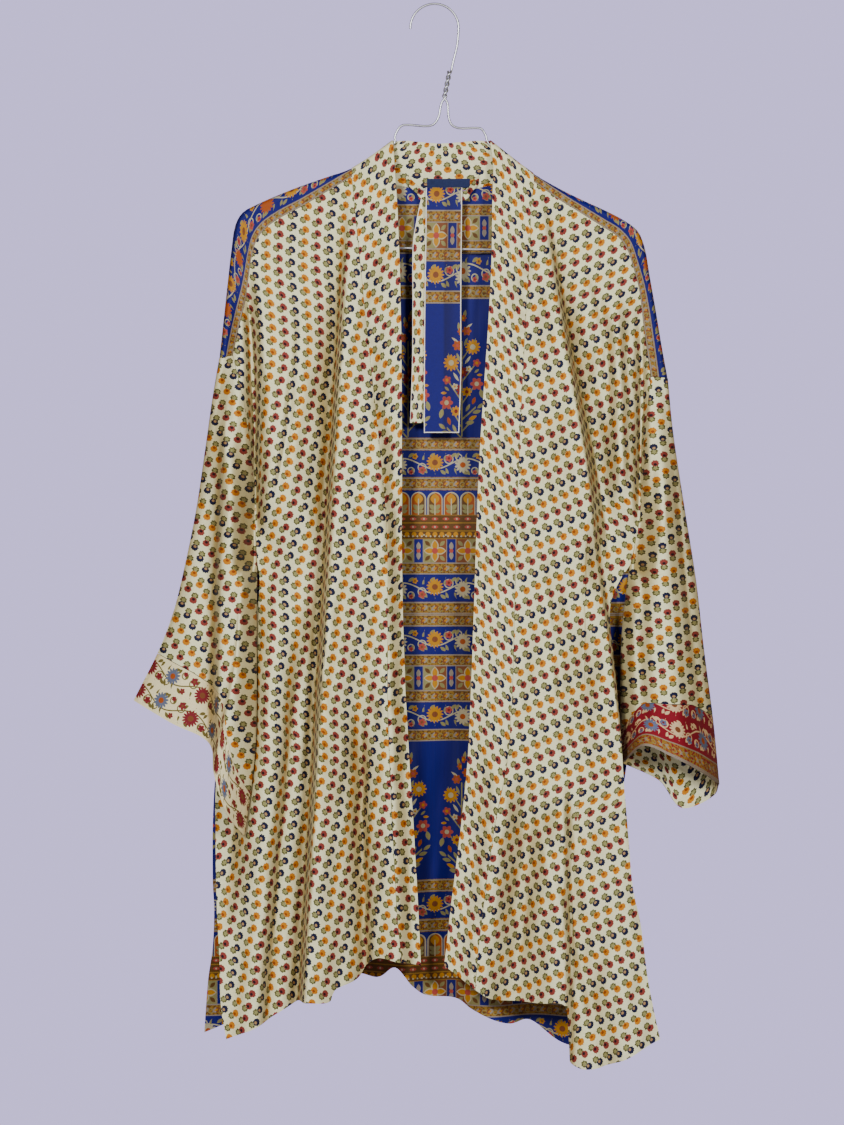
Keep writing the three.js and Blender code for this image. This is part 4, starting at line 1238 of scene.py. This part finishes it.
SLEEVE_LEFT = {
    "over": [(232, -373, 0), (237, -425, -1), (249, -505, -2), (260, -575, -3), (268, -645, -4),
             (277, -715, -5), (283, -778, -6)],
    "under": [(195, -560, 0.8), (188, -610, -6), (185, -655, -9), (184.5, -695, -10), (186, -757, -12)],
    "cuff_front": [(283, -778, -6), (262, -764, -22), (232, -748, -31), (206, -738, -30), (186, -757, -12)],
    "cuff_back": [(283, -778, -6), (279, -791, 4), (248, -804, 8), (226, -777, 4), (206, -766, -2),
                  (186, -757, -12)],
    "bulge_front": -17,
    "bulge_back": 9,
    "cuff_length": 58,
    "cuff_round": 230,
    "folds": [
        ((236, -440), (250, -590), (266, -725), -7, 5, 6),
        ((222, -440), (232, -600), (240, -745), 6, 16, 12),
        ((208, -520), (203, -640), (206, -720), -6, 7, 8),
    ],
    "seed": 22,
    "heads": 94,
    "rows": -1,
}
FOLD_SHARE = {"front": -1, "back": 0.3}  # how far a fold moves each half of a sleeve


def armhole_line(side):
    """The armhole from the shoulder's fold, over the strip's end and down to the underarm."""
    fold, seam = np.array(side["fold"][-1], float), np.array(side["seam"][-1], float)
    shares = np.linspace(0, 1, PER_GAP, endpoint=False)[:, None]
    turn = fold + (seam - fold) * TURN_SHARE
    down = smooth_line(side["armhole"], ARMHOLE_STEPS)
    return np.vstack([fold + (turn - fold) * shares, turn + (seam - turn) * shares, down])


def sleeve_half(side, sleeve, word, u, v):
    """Places on the front or the back half of a sleeve: u from the side over the arm, v down the sleeve."""
    layer = {"front": on_front, "back": on_back}[word]
    armhole = armhole_line(side)
    top = layer(armhole)[:, [0, 2, 1]]
    top[-1, 2] = sleeve["under"][0][2]
    lines = (sleeve["cuff_" + word], sleeve["over"], sleeve["under"])
    foot, over, under = (smooth_line(line, SLEEVE_STEPS) for line in lines)
    place = patch(top, foot, over, under, u, v) + np.array([side["sign"] * GAP, -GAP, 0])
    x, z, y = place.T
    inside = np.clip(np.sin(math.pi * u), 0, 1)
    bulge = sleeve["bulge_" + word] + FOLD_SHARE[word] * fold_heights(sleeve["folds"], x, z)
    loose = slack(x, z, sleeve["seed"], SLEEVE_SLACK)
    own = y + smoothstep(v, 0, SLEEVE_TOP) * inside**SLEEVE_ROUND * (bulge + loose)
    body = layer(place[:, :2])[:, 1]
    beside = 1 - smoothstep(distance_to(armhole, x, z), 0, BESIDE)
    share = beside * np.minimum(2 * inside, 1)
    return np.stack([x, own + (body - own) * share, z], axis=1)


def sleeve_form(side, sleeve, start, end):
    """The ring of a sleeve, or of its cuff, between two shares of its length."""

    def form(u, v):
        down = start + v * (end - start)
        front = sleeve_half(side, sleeve, "front", np.minimum(2 * u, 1), down)
        behind = sleeve_half(side, sleeve, "back", np.minimum(2 - 2 * u, 1), down)
        return np.where((u <= 0.5)[:, None], front, behind)

    return form


def cuff_print(u, v, hung, length):
    """Print places on a sleeve end: down from its seam, and round it from the side over the arm."""
    grid, i, j = in_rows(u, v, hung)
    return np.stack([v * length, lengths_across(grid)[i, j]], axis=1)


def join_ring(cloth):
    """Sews the two long sides of a rolled panel into a tube whose faces point outwards."""
    pick(cloth)
    bpy.ops.object.mode_set(mode="EDIT")
    bpy.ops.mesh.select_all(action="SELECT")
    bpy.ops.mesh.remove_doubles(threshold=0.01 * MM)
    bpy.ops.object.mode_set(mode="OBJECT")
    middle = np.mean([v.co for v in cloth.data.vertices], axis=0)
    outwards = sum((np.array(f.center) - middle) @ np.array(f.normal) * f.area for f in cloth.data.polygons)
    if outwards < 0:
        cloth.data.flip_normals()


def add_sleeve(word, side, sleeve):
    end = 1 - sleeve["cuff_length"] / SLEEVE_LENGTH - GAP / SLEEVE_LENGTH
    grid = (SLEEVE_GRID["around"], SLEEVE_GRID["down"])
    tube, *_, hung = cut_cloth(f"sleeve_{word}_tube", grid, sleeve_form(side, sleeve, 0, end))
    lay_print(tube, grain(hung, sleeve["heads"], rows=sleeve["rows"]))
    join_ring(tube)
    stitch_wall(tube, CLOTH, cream_silk, sari_lining)
    hang(tube, "cream_silk", 190, 305, f"sleeve_{word}")


add_sleeve("right", RIGHT, SLEEVE_RIGHT)
add_sleeve("left", LEFT, SLEEVE_LEFT)

# Sleeve ends. The right one is a border of cream silk with trailing vines. The left one is a crimson border
# with a gold edge, frayed at its rim.
CUFF_ROWS = 26
VINE_CREAM = dye(222, 212, 166)
VINE_OLIVE = dye(96, 86, 38)
VINE_MAROON = dye(112, 24, 34)
VINE_BLUE = dye(84, 92, 114)
CRIMSON = dye(118, 4, 26)
CRIMSON_BEIGE = dye(196, 168, 128)
CRIMSON_BLUE = dye(86, 98, 128)
CRIMSON_EDGE = {"width": 17, "middle": 9.5, "half": 7.5, "vines_at": 31}  # up from its rim
FRAY = {"spots": (900, 900, 1), "least": 1, "more": 2.5}  # width of the frayed rim


def make_vine_silk():
    material, tree, shader = new_material("Cream silk with vines")
    place = print_place(tree)
    down, around = millimetres(tree, place)
    up = repeated(abs(down) - VINE_ROW["cuff"] / 2, VINE_ROW["cuff"])
    vine = use_group(tree, vine_border, Along=around, Up=up, Ground=VINE_CREAM, Stem=VINE_OLIVE,
                     Leaf=VINE_OLIVE, First_flower=VINE_MAROON, Second_flower=VINE_BLUE, Bud=VINE_MAROON)
    silk_finish(tree, shader, vine.outputs["Color"], place, PRINTED_SLUB)
    return material


def make_crimson_silk(length):
    """Crimson with flowers, then a gold edge, and a pale frayed rim at the end."""
    material, tree, shader = new_material("Crimson sari border")
    place = print_place(tree)
    down, around = millimetres(tree, place)
    from_rim = abs(down) * -1 + length
    up = repeated(from_rim - CRIMSON_EDGE["vines_at"], VINE_ROW["cuff"])
    vine = use_group(tree, vine_border, Along=around, Up=up, Ground=CRIMSON, Stem=CRIMSON_BEIGE,
                     Leaf=CRIMSON_BEIGE, First_flower=CRIMSON_BEIGE, Second_flower=CRIMSON_BLUE,
                     Bud=CRIMSON_BLUE)
    edge = use_group(tree, gold_border, Along=around, Up=from_rim - CRIMSON_EDGE["middle"],
                     Half=CRIMSON_EDGE["half"], Gold=SARI_GOLD, Dark=CRIMSON)
    frayed = noise(tree, place, FRAY["spots"]) * FRAY["more"] + FRAY["least"]
    colour = layered(
        tree, vine.outputs["Color"],
        (from_rim < CRIMSON_EDGE["width"], edge.outputs["Color"]),
        (from_rim < frayed, SARI_OUTLINE),
    )
    silk_finish(tree, shader, colour, place, SARI_SLUB)
    return material


def add_cuff(word, side, sleeve, slot, *materials):
    start = 1 - sleeve["cuff_length"] / SLEEVE_LENGTH + GAP / SLEEVE_LENGTH
    grid = (SLEEVE_GRID["around"], CUFF_ROWS)
    cuff, *places = cut_cloth(f"cuff_{word}_border", grid, sleeve_form(side, sleeve, start, 1))
    lay_print(cuff, cuff_print(*places, sleeve["cuff_length"]))
    join_ring(cuff)
    stitch_wall(cuff, CLOTH, *materials)
    hang(cuff, slot, sleeve["cuff_round"], sleeve["cuff_length"], f"cuff_{word}")


add_cuff("right", RIGHT, SLEEVE_RIGHT, "vine_silk", make_vine_silk())
add_cuff("left", LEFT, SLEEVE_LEFT, "crimson_silk", make_crimson_silk(SLEEVE_LEFT["cuff_length"]), cream_silk)

# Hanging loop and label. The loop is a narrow tape of the printed silk, sewn inside the neckband at both
# ends. The label is a small plain patch of woven tape at the middle of the neck.
LOOP = {"right_x": -29, "left_x": 44, "end_z": -168.5, "width": 9, "wall": 1.2, "grid": (60, 8)}
LOOP_LOW = [(-12, 0.4, -185.4), (31, 0.4, -185.4)]  # the lowest stretch, where the sash hangs
LOOP_STRAIGHT = 0.6  # share of the way down to it at which the tape begins to turn
LOOP_STEPS = 120
LABEL = {"left": -8, "right": 35, "foot": -181.5, "top": -172.5, "wall": 0.6, "grid": (30, 8)}
LABEL_NAVY = dye(34, 42, 78)
LABEL_WEAVE = {"slub": 0.5, "depth": 0.4, "roughness": 0.85}


def loop_form(u, v):
    seat = (BAND + LOOP["wall"]) / 2 + GAP
    end_z = LOOP["end_z"] - LOOP["width"] / 2
    ends = on_back(np.array([(LOOP["right_x"], end_z), (LOOP["left_x"], end_z)]), -seat)
    ends[:, 2] = LOOP["end_z"]
    low = np.array(LOOP_LOW)
    right, left = ends + (low - ends) * LOOP_STRAIGHT
    tape = smooth_line([ends[0], right, low[0], low[1], left, ends[1]], LOOP_STEPS)
    return along(tape, u) - np.stack([0 * v, 0 * v, v * LOOP["width"]], axis=1)


def label_form(u, v):
    x = LABEL["left"] + u * (LABEL["right"] - LABEL["left"])
    z = LABEL["top"] + v * (LABEL["foot"] - LABEL["top"])
    return on_back(np.stack([x, z], axis=1), -((BAND + LABEL["wall"]) / 2 + GAP))


def make_label_tape():
    material, tree, shader = new_material("Navy woven tape")
    place = print_place(tree)
    silk_finish(tree, shader, LABEL_NAVY, place, **LABEL_WEAVE)
    return material


loop, *_, hung = cut_cloth("hanging_loop_tape", LOOP["grid"], loop_form, facing=(0, -1, 0))
lay_print(loop, grain(hung, 0))
stitch_wall(loop, LOOP["wall"], cream_silk, rounded=0.4)
hang(loop, "cream_silk", 10, 92, "hanging_loop", rests_on=["neckband_folded"])
label, *_, hung = cut_cloth("neck_label", LABEL["grid"], label_form, facing=(0, -1, 0))
lay_print(label, grain(hung, 0))
stitch_wall(label, LABEL["wall"], make_label_tape(), rounded=0.2)
hang(label, "label_tape", 43, 10, "label", rests_on=["neckband_folded"])

# Sash. One long strip with the sari on its face and the printed silk on its back, oversewn along its edges in
# white thread. It is folded three times over the loop, so it hangs in six falls.
SASH_WIDTH = 37
SASH_WALL = 0.6
SASH_LAYER = 0.85  # spacing of its layers
SASH_GRID = (16, 700)
SASH_THREAD = 0.8  # width of the oversewing
WHITE_THREAD = dye(226, 222, 212)
SASH_RIPPLE = {"height": 0.25, "length": 9, "lean": 2}
SASH_MIDDLE = [  # right x, left x, y, z: down the fall before the loop
    (-11, 24, -5.6, -428),
    (-11, 26, -6, -370),
    (-10.5, 26, -6.4, -300),
    (-9.5, 26.5, -5.8, -236),
    (-9, 27, -2.9, -187),
    (-9, 27, 0, -183.4),
    (-12, 22, 2.9, -187.5),
    (-15, 18, 2.9, -198),
    (-19, 13, 0.4, -218),
    (-22, 8, -2.8, -238),
    (-22.5, 2, -2.7, -300),
    (-23, -1, -2.2, -360),
    (-25, -4, -1.8, -418),
]
SASH_PRINT = {"top": 188, "starts_at": 634, "stretch": 0.93, "across": 11}  # which of the bands it shows


def sash_lines():
    """The middle line of each long edge of the folded sash, as (x, y, z), and the way out of its layers."""
    rows = np.array(SASH_MIDDLE, float)
    edges = [curve_points(rows[:, [k, 2, 3]], 20) for k in (0, 1)]
    middle = (edges[0] + edges[1]) / 2
    run = np.gradient(middle[:, [1, 2]], axis=0)
    out = np.stack([0 * run[:, 0], -run[:, 1], run[:, 0]], axis=1)
    out /= np.linalg.norm(out, axis=1)[:, None]
    return edges, out


def sash_route():
    """Where the strip goes: three times over the loop, from its outer layer to its inner one, turning round
    at the foot of a fall each time."""
    edges, out = sash_lines()
    count = len(out)
    layers = (SASH_LAYER, 0, -SASH_LAYER)
    right, left = [], []
    for k, layer in enumerate(layers):
        order = range(count) if k % 2 == 0 else range(count - 1, -1, -1)
        for line, edge in ((right, edges[0]), (left, edges[1])):
            line.append(np.array([edge[i] + out[i] * layer for i in order]))
    return np.vstack(right), np.vstack(left)


def sash_form(u, v):
    right, left = sash_route()
    length = line_lengths((right + left) / 2)
    places = v * length[-1]
    edges = [np.stack([np.interp(places, length, axis) for axis in line.T], axis=1) for line in (right, left)]
    hung = edges[0] + (edges[1] - edges[0]) * u[:, None]
    wave = np.sin(hung[:, 2] / SASH_RIPPLE["length"] + u * SASH_RIPPLE["lean"])
    hung[:, 1] += SASH_RIPPLE["height"] * wave * np.abs(2 * u - 1) ** 2
    return hung


def sash_print(u, v, hung):
    right, left = sash_route()
    length = line_lengths((right + left) / 2)[-1]
    return np.stack([u * SASH_WIDTH, v * length], axis=1)


def oversewn(tree, u, colour):
    """White thread over both long edges."""
    half = SASH_WIDTH / 2
    return painted(tree, abs(u - half) > half - SASH_THREAD, WHITE_THREAD, colour)


def make_sash_face():
    """The sari's face. Down the strip, its print starts at the foot of the fall that shows."""
    material, tree, shader = new_material("Sari silk sash")
    place = print_place(tree)
    u, v = millimetres(tree, place)
    foot = PICTURE_TOP - SASH_MIDDLE[0][3]
    down = (v * -1 + foot - SASH_PRINT["top"]) * SASH_PRINT["stretch"] + SASH_PRINT["starts_at"]
    bands = use_group(tree, sari_print, Across=u - SASH_PRINT["across"], Down=down)
    colour = oversewn(tree, u, bands.outputs["Color"])
    colour = painted(tree, v < SASH_THREAD, WHITE_THREAD, colour)
    silk_finish(tree, shader, colour, place, SARI_SLUB, roughness=SARI_ROUGHNESS)
    return material


def make_sash_back():
    material, tree, shader = new_material("Cream silk sash back")
    place = print_place(tree)
    sprigs = use_group(tree, sprig_print, Place=place)
    u, _ = millimetres(tree, place)
    silk_finish(tree, shader, oversewn(tree, u, sprigs.outputs["Color"]), place, PRINTED_SLUB)
    return material


sash, *places = cut_cloth("sash_folded", SASH_GRID, sash_form)
lay_print(sash, sash_print(*places))
if sum(f.normal.y for f in sash.data.polygons if f.center.y < -5 * MM) > 0:
    sash.data.flip_normals()
stitch_wall(sash, SASH_WALL, make_sash_face(), make_sash_back())
hang(sash, "sari_silk", SASH_WIDTH, 1470, "sash", held="folded", rests_on=["hanging_loop_tape"])

# Hanger. One bright steel wire starts at the hook's tip, runs down into the twist, once round the frame and
# up the twist again.
WIRE = 1.2  # radius
HOOK = {"x": -0.5, "z": -22.9, "radius": 24.1, "tip_degrees": 182, "steps": 40}
SHANK = [(22.2, -40), (18.4, -56)]
TWIST = {"top": (14.6, -66.4), "foot": (9.7, -91.4), "turns": 2, "radius": 1.45, "steps": 32}
LEG_RIGHT = [(6.6, -98), (3.6, -112), (-0.6, -118.6), (-6, -121), (-31, -120), (-35, -122), (-40, -131)]
LEG_LEFT = [(12.4, -98), (13.6, -112), (16.6, -119.6), (23, -123), (42, -123), (46.5, -124), (50.5, -130)]
TIP_RIGHT = [(-195.2, -222), (-193, -231), (-187, -237), (-178, -238.5)]
TIP_LEFT = [(190, -244), (197, -242), (201.4, -236)]
ARM_STATIONS = 6  # how much of the shoulder's fold lies on the wire
STEEL_BRIGHT, STEEL_DULL = dye(160, 162, 170), dye(196, 198, 204)
STEEL_SPOTS = (60, 60, 60)


def wire_arm(side):
    """The wire below a shoulder's fold, clear of the cloth that bends over it."""
    stations = np.array([side["neck"], *side["fold"]], float)[:ARM_STATIONS]
    run = np.gradient(stations, axis=0)
    below = np.stack([run[:, 1], -run[:, 0]], axis=1)
    below *= -np.sign(below[:, 1:]) / np.linalg.norm(below, axis=1)[:, None]
    return stations + below * (BAND / 2 + GAP + WIRE)


def strand(phase):
    """One strand of the twist, from its top down, as (x, z, y)."""
    top, foot = np.array(TWIST["top"]), np.array(TWIST["foot"])
    axis = foot - top
    side = np.array([axis[1], -axis[0]]) / np.linalg.norm(axis)
    t = np.linspace(0, 1, TWIST["steps"] + 1)
    a = phase + 2 * math.pi * TWIST["turns"] * t
    place = top + t[:, None] * axis + np.cos(a)[:, None] * side * TWIST["radius"]
    return np.column_stack([place, np.sin(a) * TWIST["radius"]])


def flat(points):
    """Places in the hanger's plane, as (x, z, y)."""
    points = np.array(points, float)
    return np.column_stack([points, np.zeros(len(points))])


def wire_route():
    angle = np.radians(np.linspace(HOOK["tip_degrees"], 0, HOOK["steps"] + 1))
    ring = np.column_stack([np.cos(angle), np.sin(angle)])
    hook = np.array([HOOK["x"], HOOK["z"]]) + HOOK["radius"] * ring
    stations = np.vstack([
        flat(hook), flat(SHANK), strand(math.pi), flat(LEG_RIGHT), flat(wire_arm(RIGHT)), flat(TIP_RIGHT),
        flat(TIP_LEFT), flat(wire_arm(LEFT)[::-1]), flat(LEG_LEFT[::-1]), strand(0)[::-1],
    ])
    return curve_points(stations, 4)[:, [0, 2, 1]]


def make_steel():
    """Drawn wire: bright, with paler dull places."""
    material, tree, shader = new_material("Bright drawn wire")
    place = tree.nodes.new("ShaderNodeTexCoord").outputs["Object"]
    dull = noise(tree, place, STEEL_SPOTS, 3)
    plug(tree, shader.inputs["Base Color"], painted(tree, dull, STEEL_DULL, STEEL_BRIGHT))
    plug(tree, shader.inputs["Roughness"], dull * 0.25 + 0.25)
    shader.inputs["Metallic"].default_value = 1
    return material


def add_wire():
    """The wire is a curve through its route with a round section, made a mesh with closed ends."""
    bpy.ops.object.select_all(action="DESELECT")
    route = wire_route() * MM
    bpy.ops.curve.primitive_nurbs_path_add()
    wire = bpy.context.object
    wire.name = "hanger_wire"
    wire.data.splines.clear()
    spline = wire.data.splines.new("POLY")
    spline.points.add(len(route) - 1)
    for point, place in zip(spline.points, route):
        point.co = (*place, 1)
    wire.data.bevel_depth = WIRE * MM
    wire.data.bevel_resolution = 3
    wire.data.use_fill_caps = True
    bpy.ops.object.convert(target="MESH")
    bpy.ops.object.shade_smooth_by_angle(angle=math.radians(60))
    wire.data.materials.clear()
    wire.data.materials.append(make_steel())
    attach(wire, "root")
    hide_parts("hanger")


add_wire()

# Floor, world and lights: a plain pale floor below the hem, two soft lamps beside the camera and one behind.
# The world is a little warm where it lights the cloth, and pale where it is seen.
FLOOR = {"z": -1800, "size": 5000, "colour": (0.74, 0.7, 0.84, 1), "roughness": 0.9}
WORLD_LIGHT = {"colour": (1.0, 0.82, 0.58, 1), "strength": 0.2}
WORLD_SEEN = {"colour": (0.66, 0.57, 1.0, 1), "strength": 1.25}
LAMPS = [  # name, place, power, size
    ("Key", (-900, -2600, 450), 72, 420),
    ("Fill", (1100, -2600, 200), 46, 420),
    ("Back", (700, 1900, 700), 26, 1500),
]
LAMPS_AIM = (0, 0, -550)


def pale_floor():
    bpy.ops.object.select_all(action="DESELECT")
    bpy.ops.mesh.primitive_plane_add(size=FLOOR["size"] * MM, location=(0, 0, FLOOR["z"] * MM))
    floor = bpy.context.object
    floor.name = "floor"
    material, tree, shader = new_material("Pale floor")
    shader.inputs["Base Color"].default_value = FLOOR["colour"]
    shader.inputs["Roughness"].default_value = FLOOR["roughness"]
    floor.data.materials.append(material)


def soft_lamps():
    for name, place, power, size in LAMPS:
        bpy.ops.object.light_add(type="AREA", location=[c * MM for c in place])
        lamp = bpy.context.object
        lamp.name = name
        lamp.data.energy = power
        lamp.data.size = size * MM
        aim = np.array(LAMPS_AIM) - np.array(place)
        lamp.rotation_euler = Vector(aim).to_track_quat("-Z", "Y").to_euler()


def pale_world():
    world = bpy.data.worlds.new("Pale world")
    world.use_nodes = True
    tree = world.node_tree
    light = tree.nodes["Background"]
    seen = tree.nodes.new("ShaderNodeBackground")
    for node, values in ((light, WORLD_LIGHT), (seen, WORLD_SEEN)):
        node.inputs["Color"].default_value = values["colour"]
        node.inputs["Strength"].default_value = values["strength"]
    either = tree.nodes.new("ShaderNodeMixShader")
    plug(tree, either.inputs[0], tree.nodes.new("ShaderNodeLightPath").outputs["Is Camera Ray"])
    plug(tree, either.inputs[1], light.outputs[0])
    plug(tree, either.inputs[2], seen.outputs[0])
    plug(tree, tree.nodes["World Output"].inputs["Surface"], either.outputs[0])
    bpy.context.scene.world = world


pale_floor()
soft_lamps()
pale_world()
